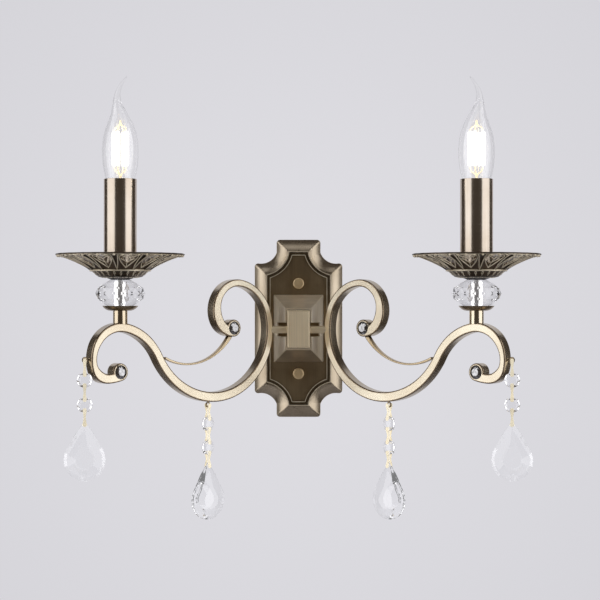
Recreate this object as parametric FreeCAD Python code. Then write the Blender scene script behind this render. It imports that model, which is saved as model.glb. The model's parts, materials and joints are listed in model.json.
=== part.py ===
"""A wall light with two scrolled arms, each holding a candle lamp over an openwork pan.

Millimetres. The wall is the plane y = 0 and the light stands forward of it, towards -Y.
+X is to the right and +Z is up; the origin is on the wall at the centre of the plate.
Each arm lies in a flat upright plane that is splayed from the wall. Its pieces are drawn
in that plane, x outwards along the arm and y backwards, and are then swung into place.
"""

import FreeCAD, Part
import math
import os

V = FreeCAD.Vector
UP = V(0, 0, 1)
RIGHT = V(1, 0, 0)
BACK = V(0, 1, 0)

# Fits
RUNNING_GAP = 0.08
LOOSE_GAP = 0.3

# Wall plate, a hollow casting with a scalloped outline
PLATE_WIDTH = 90.0
PLATE_HEIGHT = 182.0
PLATE_TAB_WIDTH = 45.0
PLATE_CORNER = 3.5
PLATE_INNER_CORNER = 0.6
PLATE_EDGE = 9.0
PLATE_WALL = 1.6
SCALLOP_RADIUS = 17.0
SCALLOP_FROM_SIDE = 6.5
SCALLOP_FROM_TOP = 7.5
BORDER_WIDTH = 12.0
BORDER_HEIGHT = 18.5
BORDER_LIP = 0.9
GROOVE_WIDTH = 2.6
GROOVE_DEPTH = 2.6
BEAD_WIDTH = 0.9
BEAD_HEIGHT = 0.7
PANEL_HEIGHT = 14.5

# Bracket on the wall, its studs and the cap nuts that hold the plate
BRACKET_LENGTH = 118.0
BRACKET_WIDTH = 22.0
BRACKET_THICK = 2.0
BRACKET_CORNER = 4.0
BRACKET_CABLE_RADIUS = 6.0
WALL_SLOT_SPACING = 60.0
WALL_SLOT_LENGTH = 12.0
WALL_SLOT_RADIUS = 2.3
STUD_SPACING = 92.0
STUD_RADIUS = 2.0
STUD_LENGTH = 20.0
STUD_NUT_ACROSS = 7.0
STUD_NUT_HEIGHT = 3.2
CAP_NUT_RADIUS = 5.7
CAP_NUT_FACE_RADIUS = 3.9
CAP_NUT_HEIGHT = 10.0
CAP_NUT_BORE_DEPTH = 8.2
EARTH_SCREW_DROP = 13.5
EARTH_SCREW_RADIUS = 2.0
EARTH_HEAD_RADIUS = 3.8
EARTH_HEAD_HEIGHT = 2.4
EARTH_SLOT_WIDTH = 0.9
EARTH_SLOT_DEPTH = 0.7

# Terminal block behind the plate's panel
TERMINAL_WIDTH = 24.0
TERMINAL_HEIGHT = 13.0
TERMINAL_DEPTH = 7.5
TERMINAL_RAISE = 22.0
TERMINAL_PITCH = 8.0
TERMINAL_WIRE_HOLE = 3.2
TERMINAL_SCREW_RADIUS = 1.6
TERMINAL_SCREW_DEPTH = 1.5

# Pyramid boss, the block that it surrounds, and the rods that carry the arms
BOSS_WIDTH = 51.2
BOSS_HEIGHT = 69.0
BOSS_TOP_WIDTH = 26.8
BOSS_TOP_HEIGHT = 42.4
BOSS_RISE = 34.5
BOSS_WALL = 2.2
NOTCH_HEIGHT = 14.0
NOTCH_FLOOR = 7.5
BLOCK_WIDTH = 22.7
BLOCK_HEIGHT = 37.6
BLOCK_FRONT = 59.0
BLOCK_EDGE = 1.6
BLOCK_WIRE_RADIUS = 3.2
BLOCK_BOLT_SPACING = 14.4
BLOCK_BOLT_RADIUS = 2.0
BLOCK_BOLT_HEAD_RADIUS = 3.4
BLOCK_BOLT_HEAD_HEIGHT = 2.6
BLOCK_BOLT_REACH = 14.0
BLOCK_BOLT_DRIVER = 3.0
BLOCK_BOLT_DRIVER_DEPTH = 1.6
ROD_RADIUS = 3.75
ROD_BORE_RADIUS = 2.0
ROD_SOCKET = 4.0

# Arms: a flat bar bent through tangent arcs, from the inner scroll to the outer one
ARM_SPLAY = 40.0
ARM_ROOT_OUT = 26.3
ARM_ROOT_FORWARD = 40.0
ARM_DEPTH = 11.2
ARM_START = (53.0, -2.5)
# each bend's radius, how many degrees it turns to the left, and the bar's width at its end
ARM_BEND_RADII = (20.2, 25.9, 41.9, 59.8, 70.0, 76.2, 55.3, 30.0, 15.9, 57.0)
ARM_BEND_TURNS = (64.1, 123.2, 66.2, 44.3, 62.2, 62.0, -51.2, -110.2, -83.0, -14.0)
ARM_BEND_WIDTHS = (10.6, 7.0, 7.6, 8.3, 9.7, 8.7, 8.8, 6.6, 9.0, 9.2)
ARM_START_WIDTH = 9.4
SCROLL_BOSS_RADIUS = 8.5
STONE_RADIUS = 6.6
STONE_SEAT_DEPTH = 3.0
STONE_CROWN = 1.6

# Tendril that braces the inner scroll to the bar
BRACE_START = (54.6, -5.75)
BRACE_HEADING = -56.2
BRACE_RADIUS = 62.0
BRACE_SWEEP_ANGLE = 83.2
BRACE_START_WIDTH = 4.4
BRACE_WIDTH = 2.2
BRACE_DEPTH = 5.0

# Candle stack on each arm
STEM_RADIUS = 6.85
STEM_BORE = 5.2
STEM_HEIGHT = 11.4
CUP_RADIUS = 17.0
CUP_FOOT_RADIUS = 9.0
CUP_HEIGHT = 4.7
CUP_WALL = 1.2
CUP_SEAT_HEIGHT = 3.5
RONDELLE_RADIUS = 23.4
RONDELLE_HEIGHT = 25.6
RONDELLE_END_RADIUS = 9.5
RONDELLE_SIDES = 16
NIPPLE_RADIUS = 5.0
NIPPLE_BORE = 3.6
NIPPLE_ABOVE_ARM = 1.0
NIPPLE_IN_HOLDER = 6.0
PAN_RADIUS = 60.8
PAN_HEIGHT = 24.4
PAN_LIP = 0.9
PAN_RING_RADIUS = 28.4
PAN_RING_DROP = 14.6
PAN_RING_BAND = 1.8
PAN_BOWL_RADIUS = 26.2
PAN_BOWL_FOOT_RADIUS = 20.5
PAN_BOWL_HEIGHT = 2.8
PAN_FLOOR_RADIUS = 13.6
PAN_FLOOR_HEIGHT = 2.1
PAN_FOOT_RADIUS = 8.2
PAN_WALL = 1.6
PAN_LEAVES = 12
PAN_LEAF_FROM_RING = 5.1
PAN_LEAF_FROM_RIM = 5.3
PAN_LEAF_APART = 9.2
PAN_RIB_SPREAD = 2.6
PAN_RIB_THICK = 1.3
PAN_RIB_DROP = 0.9
PAN_SCALLOP_DEPTH = 1.6
SLEEVE_RADIUS = 15.6
SLEEVE_WALL = 0.9

# Lampholder and bulb
HOLDER_RADIUS = 12.5
HOLDER_HEIGHT = 76.0
HOLDER_CAVITY = 34.0
HOLDER_FLOOR = 4.0
CAP_RADIUS = 6.9
CAP_LENGTH = 26.0
CAP_CONTACT_RADIUS = 2.4
CAP_CONTACT_HEIGHT = 3.0
BULB_RADIUS = 17.5
BULB_WALL = 0.8
BULB_NECK_RADIUS = 9.1
BULB_NECK_SWELL = (14.1, 15.2)
BULB_WIDEST_AT = 41.0
BULB_SHOULDER = (15.4, 59.0)
BULB_TIP_RADIUS = 7.1
BULB_TIP_FROM = 77.3
BULB_HEIGHT = 111.9
# sections of the solid flame tip: share of its height, then radius and lean towards the plate
# as shares of the tip's first radius
BULB_TIP = (
    (0.0, 1.0, 0.0),
    (0.22, 0.61, -0.37),
    (0.46, 0.41, -0.46),
    (0.68, 0.34, -0.20),
    (0.86, 0.24, 0.23),
    (1.0, 0.07, 0.92),
)
POST_RADIUS = 1.6
FILAMENT_WIDTH = 1.6
FILAMENT_LENGTH = 32.0
FILAMENT_SPREAD = 5.6
FILAMENT_RISE = 27.8
SUPPORT_THICK = 0.8

# Crystal strings
EYE_RADIUS = 2.2
EYE_WIRE = 0.75
EYE_SHANK = 3.0
EYE_SECTION_SIDES = 8
OUTER_EYE_NECK = 1.2
OUTER_STRING_YAW = -8.0
INNER_EYE_TURN = 3.8
CANDLE_BEFORE_CROWN = 4.5
CLIP_LENGTH = 12.6
CLIP_END_RADIUS = 2.1
CLIP_WAIST = 2.2
CLIP_THICK = 0.5
CLIP_PIN_RADIUS = 0.6
BEAD_RADIUS = 7.5
BEAD_HOLE_FROM_CENTRE = 5.3
BEAD_THICK = 5.2
BEAD_GIRDLE = 1.2
DROP_WIDTH = 39.0
DROP_LENGTH = 56.0
DROP_THICK = 12.0
DROP_GIRDLE = 2.0
DROP_NECK_RADIUS = 3.0
DROP_HOLE_FROM_TOP = 3.1
DROP_SIDES = 20

# Leads
WIRE_RADIUS = 1.3
WIRE_BEND = 3.0
WIRE_PAIR_GAP = 0.3


# ---------------------------------------------------------------- drawing helpers
def save(name, *solids):
    """One solid, or a group of separate alike solids, as one named piece."""
    shape = solids[0] if len(solids) == 1 else Part.makeCompound(list(solids))
    shape.exportStep("parts/%s.step" % name)


def both_sides(shape):
    """The right-hand shape and its mirror image on the left."""
    return {"right": shape, "left": shape.mirror(V(0, 0, 0), RIGHT)}


def rod(radius, start, end):
    return Part.makeCylinder(radius, (end - start).Length, start, end - start)


def flat(x, z, y=0.0):
    return V(x, y, z)


def line_or_arc(start, middle, end):
    if middle is None:
        return Part.makeLine(start, end)
    return Part.Arc(start, middle, end).toShape()


def profile(start, *steps):
    """A closed wire in the XZ plane. A step is an end point, or a middle and an end."""
    first = here = flat(*start)
    edges = []
    for step in steps:
        curved = isinstance(step[0], tuple)
        end = flat(*(step[1] if curved else step))
        edges.append(line_or_arc(here, flat(*step[0]) if curved else None, end))
        here = end
    if (here - first).Length > 1e-7:
        edges.append(Part.makeLine(here, first))
    return Part.Wire(edges)


def turned(wire):
    """A solid of revolution about the Z axis."""
    return Part.Face(wire).revolve(V(0, 0, 0), UP, 360)


def prism(wire, along):
    return Part.Face(wire).extrude(along)


def box(width, depth, height, centre):
    """A box by its size along X, Y and Z and the middle of its volume."""
    corner = centre - V(width / 2, depth / 2, height / 2)
    return Part.makeBox(width, depth, height, corner)


def hexagon(across, height, base):
    """A hexagonal prism standing forward from a base point."""
    reach = across / math.sqrt(3)
    points = []
    for k in range(7):
        turn = math.radians(60 * k)
        points.append(base + V(reach * math.cos(turn), 0, reach * math.sin(turn)))
    return prism(Part.makePolygon(points), BACK * -height)


def faceted(levels, outline, sides):
    """A cut stone: rings of points on an outline, joined by flat triangles.

    A level is its height, its scale and its turn in parts of a facet.
    """
    rings = []
    for height, scale, turn in levels:
        ring = []
        for k in range(sides):
            x, z = outline((k + turn) / sides)
            ring.append(V(x * scale, height, z * scale))
        rings.append(ring)
    loops = [list(reversed(rings[0])), rings[-1]]
    for (low, low_level), (high, high_level) in zip(
        zip(rings, levels), list(zip(rings, levels))[1:]
    ):
        shift = 0 if high_level[2] >= low_level[2] else 1
        for k in range(sides):
            here, after = low[k], low[(k + 1) % sides]
            above, beyond = high[(k + shift) % sides], high[(k + shift + 1) % sides]
            if high_level[2] >= low_level[2]:
                loops += [[here, after, above], [after, beyond, above]]
            else:
                behind = high[k]
                loops += [[here, above, behind], [here, after, above]]
    faces = []
    for loop in loops:
        faces.append(Part.Face(Part.makePolygon(loop + loop[:1])))
    solid = Part.makeSolid(Part.makeShell(faces))
    if solid.Volume < 0:
        solid.reverse()
    return solid


def largest(shape):
    """The biggest of the solids that a cut leaves."""
    return max(shape.Solids, key=lambda piece: piece.Volume)


def circle(part_of_turn):
    """A unit circle, starting at the top."""
    turn = 2 * math.pi * part_of_turn
    return math.sin(turn), math.cos(turn)


# ---------------------------------------------------------------- tangent arcs
def tangent_arc(start, heading, end):
    """The arc that leaves start in the direction heading and ends at end."""
    chord = end - start
    turn = heading.getAngle(chord)
    if turn < 1e-5:
        return Part.makeLine(start, end)
    side = heading - chord * (heading.dot(chord) / chord.dot(chord))
    middle = (start + end) * 0.5 + side.normalize() * (chord.Length / 2 * math.tan(turn / 2))
    return Part.Arc(start, middle, end).toShape()


def biarc(start, heading, end, last_heading):
    """Two arcs, tangent to each other, between two points with given directions."""
    chord = end - start
    both = heading + last_heading
    spread = 2 * (1 - heading.dot(last_heading))
    if spread < 1e-9:
        return [Part.makeLine(start, end)]
    along = chord.dot(both)
    reach = (math.sqrt(along**2 + spread * chord.dot(chord)) - along) / spread
    first = start + heading * reach
    second = end - last_heading * reach
    join = (first + second) * 0.5
    return [tangent_arc(start, heading, join), tangent_arc(join, (second - first).normalize(), end)]


class Station:
    """A point on a bent bar's centreline, with its direction, bend and half width."""

    def __init__(self, point, heading, bend, half, slope):
        self.point = point
        self.heading = heading
        self.bend = bend
        self.half = half
        self.slope = slope

    def direction(self):
        return flat(math.cos(self.heading), math.sin(self.heading))

    def left(self):
        return flat(-math.sin(self.heading), math.cos(self.heading))

    def edge(self, side):
        """A point on one edge of the bar: side 1 is the left edge, -1 the right."""
        return self.point + self.left() * (side * self.half)

    def edge_direction(self, side):
        forward = self.direction() * (1 - side * self.half * self.bend)
        return (forward + self.left() * (side * self.slope)).normalize()


def walk(start, heading, width, bends, longest=70.0):
    """Stations along tangent arcs, each arc in equal steps of at most so many degrees."""
    stations = [Station(flat(*start), math.radians(heading), 0.0, width / 2, 0.0)]
    pieces = []
    for radius, turn, end_width in bends:
        steps = math.ceil(abs(turn) / longest)
        first = stations[-1].half
        for step in range(steps):
            pieces.append((radius, turn / steps, first + (end_width / 2 - first) * (step + 1) / steps))
    for radius, turn, half in pieces:
        last = stations[-1]
        station, bend, slope = step_on(last, radius, turn, half)
        if len(stations) > 1:
            last.bend = (last.bend + bend) / 2
            last.slope = (last.slope + slope) / 2
        else:
            last.bend, last.slope = bend, slope
        stations.append(station)
    return stations


def step_on(last, radius, turn, half):
    """The station at the end of one arc that turns to the left by so many degrees."""
    angle = math.radians(turn)
    bend = math.copysign(1 / radius, turn)
    slope = (half - last.half) / (radius * abs(angle))
    heading = last.heading + angle
    point = last.point + flat(
        (math.sin(heading) - math.sin(last.heading)) / bend,
        (math.cos(last.heading) - math.cos(heading)) / bend,
    )
    return Station(point, heading, bend, half, slope), bend, slope


def station_in(start, heading, width, bends, index, turn):
    """The station part of the way round one bend of a bar."""
    station = walk(start, heading, width, bends[:index], longest=360.0)[-1]
    radius, whole, end_width = bends[index]
    share = abs(turn / whole)
    half = station.half + (end_width / 2 - station.half) * share
    return step_on(station, radius, turn, half)[0]


def bar_outline(stations):
    """The closed outline of a tapered bar, all arcs."""
    edges = []
    for here, there in zip(stations, stations[1:]):
        edges += biarc(here.edge(1), here.edge_direction(1), there.edge(1), there.edge_direction(1))
    edges.append(Part.makeLine(stations[-1].edge(1), stations[-1].edge(-1)))
    back = list(reversed(stations))
    for here, there in zip(back, back[1:]):
        edges += biarc(
            here.edge(-1), here.edge_direction(-1) * -1, there.edge(-1), there.edge_direction(-1) * -1
        )
    edges.append(Part.makeLine(stations[0].edge(-1), stations[0].edge(1)))
    return Part.Wire(edges)


def rounded_path(corners, radius):
    """Straight runs between corners, joined by tangent arcs of one radius."""
    edges = []
    here = corners[0]
    for before, corner, after in zip(corners, corners[1:], corners[2:]):
        heading = (corner - before).normalize()
        leaving = (after - corner).normalize()
        reach = radius * math.tan(heading.getAngle(leaving) / 2)
        start, end = corner - heading * reach, corner + leaving * reach
        edges.append(Part.makeLine(here, start))
        edges.append(tangent_arc(start, heading, end))
        here = end
    edges.append(Part.makeLine(here, corners[-1]))
    return Part.Wire(edges)


def pipe(path, radius):
    """A six-sided solid along a wire that begins at its first vertex."""
    edge = path.Edges[0]
    start = edge.valueAt(edge.FirstParameter)
    direction = edge.tangentAt(edge.FirstParameter)
    across = direction.cross(BACK)
    along = direction.cross(across)
    ring = []
    for k in range(7):
        turn = math.pi * k / 3
        ring.append(start + across * (radius * math.cos(turn)) + along * (radius * math.sin(turn)))
    return path.makePipeShell([Part.makePolygon(ring)], True, False)


# ---------------------------------------------------------------- where the arms lie
def swing(shape):
    """From the right arm's own plane to its place on the wall light."""
    placed = shape.copy()
    placed.rotate(V(0, 0, 0), UP, -ARM_SPLAY)
    placed.translate(V(ARM_ROOT_OUT, -ARM_ROOT_FORWARD, 0))
    return placed


def swing_point(point):
    splay = math.radians(ARM_SPLAY)
    return V(
        ARM_ROOT_OUT + point.x * math.cos(splay) + point.y * math.sin(splay),
        -ARM_ROOT_FORWARD - point.x * math.sin(splay) + point.y * math.cos(splay),
        point.z,
    )


def arm_bends():
    return tuple(zip(ARM_BEND_RADII, ARM_BEND_TURNS, ARM_BEND_WIDTHS))


def arm_station(index, turn):
    return station_in(ARM_START, 0.0, ARM_START_WIDTH, arm_bends(), index, turn)


def turn_before(index):
    return sum(ARM_BEND_TURNS[:index])


# the innermost point of the big scroll, where the rod joins it
ROOT = arm_station(3, 270.0 - turn_before(3))
# near the crown of the outer scroll, where the candle stands
CROWN = arm_station(7, 360.0 + CANDLE_BEFORE_CROWN - turn_before(7))
# the outermost point of the outer scroll and the foot of the bowl, where crystals hang
OUTERMOST = arm_station(7, -turn_before(7) + 270.0)
BOWL_FOOT = arm_station(5, INNER_EYE_TURN)

CANDLE = swing_point(CROWN.point)
CANDLE_BASE = CROWN.edge(1).z
CUP_BASE = CANDLE_BASE + STEM_HEIGHT
RONDELLE_BASE = CUP_BASE + CUP_SEAT_HEIGHT
PAN_BASE = RONDELLE_BASE + RONDELLE_HEIGHT
PAN_INSIDE_FLOOR = PAN_BASE + PAN_FLOOR_HEIGHT + PAN_WALL
BULB_BASE = PAN_INSIDE_FLOOR + HOLDER_HEIGHT + LOOSE_GAP
ROD_PLACE = swing_point(ROOT.point)


def on_candle(shape, height=0.0):
    """From the Z axis to the right-hand candle's axis."""
    placed = shape.copy()
    placed.translate(V(CANDLE.x, CANDLE.y, height))
    return placed


# ---------------------------------------------------------------- wall plate
def plate_outline(inset, forward):
    """The scalloped outline drawn inwards by inset, at a distance forward of the wall."""
    side = PLATE_WIDTH / 2 - inset
    top = PLATE_HEIGHT / 2 - inset
    tab = PLATE_TAB_WIDTH / 2 - inset
    corner = max(PLATE_CORNER - inset, PLATE_INNER_CORNER)
    scallop = SCALLOP_RADIUS + inset
    hub_x = PLATE_WIDTH / 2 - SCALLOP_FROM_SIDE
    hub_z = PLATE_HEIGHT / 2 - SCALLOP_FROM_TOP
    slant = corner * math.sqrt(0.5)
    foot = hub_z - math.sqrt(scallop**2 - (hub_x - tab) ** 2)
    # the shoulder's rounding touches the scallop from outside and the side from inside
    round_x = side - corner
    round_z = hub_z - math.sqrt((scallop + corner) ** 2 - (round_x - hub_x) ** 2)
    to_round = flat(round_x - hub_x, round_z - hub_z).normalize()
    touch = flat(hub_x, hub_z) + to_round * scallop
    start_turn = math.atan2(foot - hub_z, tab - hub_x)
    end_turn = math.atan2(to_round.z, to_round.x)
    middle_turn = (start_turn + end_turn) / 2
    out = (to_round * -1 + RIGHT).normalize() * corner
    quarter = [
        ((tab - corner, top), (tab - corner + slant, top - corner + slant), (tab, top - corner)),
        ((tab, top - corner), None, (tab, foot)),
        (
            (tab, foot),
            (hub_x + scallop * math.cos(middle_turn), hub_z + scallop * math.sin(middle_turn)),
            (touch.x, touch.z),
        ),
        ((touch.x, touch.z), (round_x + out.x, round_z + out.z), (side, round_z)),
    ]
    edges = []
    corners = [(1, 1, False), (1, -1, True), (-1, -1, False), (-1, 1, True)]
    last = None
    for sign_x, sign_z, backwards in corners:
        run = [(end, middle, start) for start, middle, end in reversed(quarter)] if backwards else quarter
        for start, middle, end in run:
            points = []
            for point in (start, middle, end):
                points.append(point and V(point[0] * sign_x, -forward, point[1] * sign_z))
            if last is not None and (points[0] - last).Length > 1e-7:
                edges.append(Part.makeLine(last, points[0]))
            edges.append(line_or_arc(*points))
            last = points[2]
    edges.append(Part.makeLine(last, edges[0].Vertexes[0].Point))
    return Part.Wire(edges)


def plate_slab(inset, low, high):
    return prism(plate_outline(inset, low), BACK * (low - high))


def backplate():
    crest = BORDER_WIDTH
    groove = crest + BORDER_LIP
    bead = groove + GROOVE_WIDTH
    panel = bead + BEAD_WIDTH
    body = plate_slab(0.0, 0.0, PLATE_EDGE)
    slope = [plate_outline(0.0, PLATE_EDGE), plate_outline(crest, BORDER_HEIGHT)]
    body = body.fuse(Part.makeLoft(slope, True, True))
    floor = BORDER_HEIGHT - GROOVE_DEPTH
    cut = plate_slab(groove, floor, BORDER_HEIGHT + 1)
    body = body.cut(cut)
    bead_ring = plate_slab(bead, PANEL_HEIGHT, floor + BEAD_HEIGHT)
    body = body.fuse(bead_ring).cut(plate_slab(panel, PANEL_HEIGHT, BORDER_HEIGHT))
    back_floor = PANEL_HEIGHT - PLATE_WALL
    steep = (back_floor - PLATE_EDGE) / (BORDER_HEIGHT - PLATE_EDGE)
    hollow = plate_slab(PLATE_WALL, -1.0, PLATE_EDGE - PLATE_WALL * 0.6)
    inner = [
        plate_outline(PLATE_WALL, PLATE_EDGE - PLATE_WALL * 0.6),
        plate_outline(PLATE_WALL + crest * steep, back_floor),
    ]
    hollow = hollow.fuse(Part.makeLoft(inner, True, True))
    body = body.cut(hollow)
    for z in (-STUD_SPACING / 2, STUD_SPACING / 2):
        body = body.cut(rod(STUD_RADIUS + LOOSE_GAP, flat(0, z, 0), flat(0, z, -PANEL_HEIGHT - 1)))
    for x in (-BLOCK_BOLT_SPACING / 2, BLOCK_BOLT_SPACING / 2):
        body = body.cut(rod(BLOCK_BOLT_RADIUS + LOOSE_GAP, flat(x, 0, 0), flat(x, 0, -PANEL_HEIGHT - 1)))
    body = body.cut(rod(BLOCK_WIRE_RADIUS, flat(0, 0, 0), flat(0, 0, -PANEL_HEIGHT - 1)))
    return body.removeSplitter()


def slot(z, radius, length, depth):
    """An upright slot through the bracket."""
    reach = length / 2 - radius
    ends = rod(radius, flat(0, z - reach, 1), flat(0, z - reach, -depth - 1))
    ends = ends.fuse(rod(radius, flat(0, z + reach, 1), flat(0, z + reach, -depth - 1)))
    return ends.fuse(box(2 * radius, depth + 2, 2 * reach, flat(0, z, -depth / 2)))


def wall_bracket():
    plate = box(BRACKET_WIDTH, BRACKET_THICK, BRACKET_LENGTH, flat(0, 0, -BRACKET_THICK / 2))
    corners = [e for e in plate.Edges if abs(e.tangentAt(e.FirstParameter).y) > 0.9]
    plate = plate.makeFillet(BRACKET_CORNER, corners)
    holes = [(0, BRACKET_CABLE_RADIUS), (-EARTH_SCREW_DROP, EARTH_SCREW_RADIUS + RUNNING_GAP)]
    for side in (-1, 1):
        z = side * WALL_SLOT_SPACING / 2
        plate = plate.cut(slot(z, WALL_SLOT_RADIUS, WALL_SLOT_LENGTH, BRACKET_THICK))
        holes.append((side * STUD_SPACING / 2, STUD_RADIUS + RUNNING_GAP))
    for z, radius in holes:
        plate = plate.cut(rod(radius, flat(0, z, 1), flat(0, z, -BRACKET_THICK - 1)))
    return plate


def bracket_studs():
    studs = []
    for side in (-1, 1):
        z = side * STUD_SPACING / 2
        studs.append(rod(STUD_RADIUS, flat(0, z, 0), flat(0, z, -STUD_LENGTH)))
    return studs


def stud_nuts():
    nuts = []
    for side in (-1, 1):
        base = flat(0, side * STUD_SPACING / 2, -BRACKET_THICK)
        nut = hexagon(STUD_NUT_ACROSS, STUD_NUT_HEIGHT, base)
        nuts.append(nut.cut(rod(STUD_RADIUS + RUNNING_GAP, base, base - BACK * STUD_NUT_HEIGHT)))
    return nuts


def cap_nut(z):
    """A turned nut with a flat face and a rounded shoulder, on the plate's panel."""
    round_off = CAP_NUT_RADIUS - CAP_NUT_FACE_RADIUS
    shoulder = CAP_NUT_HEIGHT - round_off
    near = round_off * math.sqrt(0.5)
    wire = profile(
        (0, 0),
        (CAP_NUT_RADIUS, 0),
        (CAP_NUT_RADIUS, shoulder),
        ((CAP_NUT_FACE_RADIUS + near, shoulder + near), (CAP_NUT_FACE_RADIUS, CAP_NUT_HEIGHT)),
        (0, CAP_NUT_HEIGHT),
    )
    nut = turned(wire)
    nut = nut.cut(Part.makeCylinder(STUD_RADIUS + RUNNING_GAP, CAP_NUT_BORE_DEPTH))
    nut.rotate(V(0, 0, 0), RIGHT, 90)
    nut.translate(flat(0, z, -PANEL_HEIGHT))
    return nut


def earth_screw():
    foot = flat(0, -EARTH_SCREW_DROP, 0)
    seat = foot - BACK * BRACKET_THICK
    top = seat - BACK * EARTH_HEAD_HEIGHT
    driver = box(2 * EARTH_HEAD_RADIUS, 2 * EARTH_SLOT_DEPTH, EARTH_SLOT_WIDTH, top)
    head = rod(EARTH_HEAD_RADIUS, seat, top).cut(driver)
    return rod(EARTH_SCREW_RADIUS, foot, seat).fuse(head).removeSplitter()


def terminal_block():
    """A row of three screw terminals fixed to the back of the plate's panel."""
    back = PANEL_HEIGHT - PLATE_WALL
    centre = flat(0, TERMINAL_RAISE, -back + TERMINAL_DEPTH / 2)
    body = box(TERMINAL_WIDTH, TERMINAL_DEPTH, TERMINAL_HEIGHT, centre)
    for way in (-1, 0, 1):
        place = centre + RIGHT * (way * TERMINAL_PITCH)
        body = body.cut(box(TERMINAL_WIRE_HOLE, TERMINAL_WIRE_HOLE, TERMINAL_HEIGHT + 2, place))
        rear = place + BACK * (TERMINAL_DEPTH / 2)
        body = body.cut(rod(TERMINAL_SCREW_RADIUS, rear - BACK * TERMINAL_SCREW_DEPTH, rear + BACK))
    return body


# ---------------------------------------------------------------- boss and block
def rectangle(width, height, forward):
    points = []
    for x, z in ((1, 1), (1, -1), (-1, -1), (-1, 1), (1, 1)):
        points.append(V(x * width / 2, -forward, z * height / 2))
    return Part.makePolygon(points)


def pyramid_boss():
    base, top = PANEL_HEIGHT, PANEL_HEIGHT + BOSS_RISE
    body = Part.makeLoft(
        [rectangle(BOSS_WIDTH, BOSS_HEIGHT, base), rectangle(BOSS_TOP_WIDTH, BOSS_TOP_HEIGHT, top)],
        True,
        True,
    )
    shrink = 2 * BOSS_WALL
    inside = Part.makeLoft(
        [
            rectangle(BOSS_WIDTH - shrink, BOSS_HEIGHT - shrink, base),
            rectangle(BOSS_TOP_WIDTH - shrink, BOSS_TOP_HEIGHT - shrink, top - BOSS_WALL),
        ],
        True,
        True,
    )
    block_way = box(
        BLOCK_WIDTH + 2 * LOOSE_GAP,
        BOSS_RISE + 2,
        BLOCK_HEIGHT + 2 * LOOSE_GAP,
        flat(0, 0, -(base + top) / 2),
    )
    notch = box(
        BOSS_WIDTH + 2,
        BOSS_RISE,
        NOTCH_HEIGHT,
        flat(0, ROD_PLACE.z, -(base + NOTCH_FLOOR + BOSS_RISE / 2)),
    )
    return body.cut(inside).cut(block_way).cut(notch).removeSplitter()


def centre_block():
    depth = BLOCK_FRONT - PANEL_HEIGHT
    block = box(BLOCK_WIDTH, depth, BLOCK_HEIGHT, flat(0, 0, -PANEL_HEIGHT - depth / 2))
    front = [e for e in block.Edges if e.BoundBox.YMax < -BLOCK_FRONT + 1e-6]
    block = block.makeChamfer(BLOCK_EDGE, front)
    cross = flat(0, ROD_PLACE.z, ROD_PLACE.y)
    wire_way = rod(BLOCK_WIRE_RADIUS, flat(0, ROD_PLACE.z, -PANEL_HEIGHT + 1), cross)
    block = block.cut(wire_way).cut(Part.makeSphere(BLOCK_WIRE_RADIUS, cross))
    half = RIGHT * (BLOCK_WIDTH / 2)
    block = block.cut(rod(ROD_BORE_RADIUS, cross - half, cross + half))
    for side in (-1, 1):
        face = cross + half * side
        socket = rod(ROD_RADIUS + RUNNING_GAP, face - RIGHT * (side * ROD_SOCKET), face + RIGHT * side)
        x = side * BLOCK_BOLT_SPACING / 2
        start = flat(x, 0, -PANEL_HEIGHT + 1)
        bolt_hole = rod(BLOCK_BOLT_RADIUS + RUNNING_GAP, start, flat(x, 0, -PANEL_HEIGHT - BLOCK_BOLT_REACH))
        block = block.cut(socket).cut(bolt_hole)
    return block


def block_bolts():
    """Bolts from behind the plate's panel into the block."""
    seat = -(PANEL_HEIGHT - PLATE_WALL)
    bolts = []
    for side in (-1, 1):
        x = side * BLOCK_BOLT_SPACING / 2
        under = flat(x, 0, seat + BLOCK_BOLT_HEAD_HEIGHT)
        head = rod(BLOCK_BOLT_HEAD_RADIUS, under, flat(x, 0, seat))
        head = head.cut(hexagon(BLOCK_BOLT_DRIVER, BLOCK_BOLT_DRIVER_DEPTH, under))
        shank = rod(BLOCK_BOLT_RADIUS, flat(x, 0, seat), flat(x, 0, -PANEL_HEIGHT - BLOCK_BOLT_REACH))
        bolts.append(head.fuse(shank))
    return bolts


def arm_rod(arm_solid):
    """The bored rod from the block to the arm, shaped at its end to the arm's side."""
    start = flat(BLOCK_WIDTH / 2 - ROD_SOCKET, ROD_PLACE.z, ROD_PLACE.y)
    bar = rod(ROD_RADIUS, start, ROD_PLACE).cut(rod(ROD_BORE_RADIUS, start, ROD_PLACE))
    return largest(bar.cut(arm_solid))


# ---------------------------------------------------------------- arms
def scroll_boss_centres():
    """Round bosses, tangent to the bar's outer edge, at both ends of the arm."""
    inner = walk(ARM_START, 0.0, ARM_START_WIDTH, arm_bends())[0]
    outer = walk(ARM_START, 0.0, ARM_START_WIDTH, arm_bends())[-1]
    centres = []
    for station, side in ((inner, 1), (outer, -1)):
        centres.append(station.edge(-side) + station.left() * (side * SCROLL_BOSS_RADIUS))
    return centres


def arm():
    lift = BACK * (-ARM_DEPTH / 2)
    outline = bar_outline(walk(ARM_START, 0.0, ARM_START_WIDTH, arm_bends()))
    outline.translate(lift)
    bar = prism(outline, BACK * ARM_DEPTH)
    for centre in scroll_boss_centres():
        bar = bar.fuse(rod(SCROLL_BOSS_RADIUS, centre + lift, centre - lift))
    bar = bar.removeSplitter()
    for centre in scroll_boss_centres():
        seat_floor = centre + lift + BACK * STONE_SEAT_DEPTH
        bar = bar.cut(rod(STONE_RADIUS + RUNNING_GAP, seat_floor, centre + lift * 2))
    placed = swing(bar)
    for eye in (inner_eye(), outer_eye()):
        placed = placed.cut(eye["hole"])
    return largest(placed)


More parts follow.
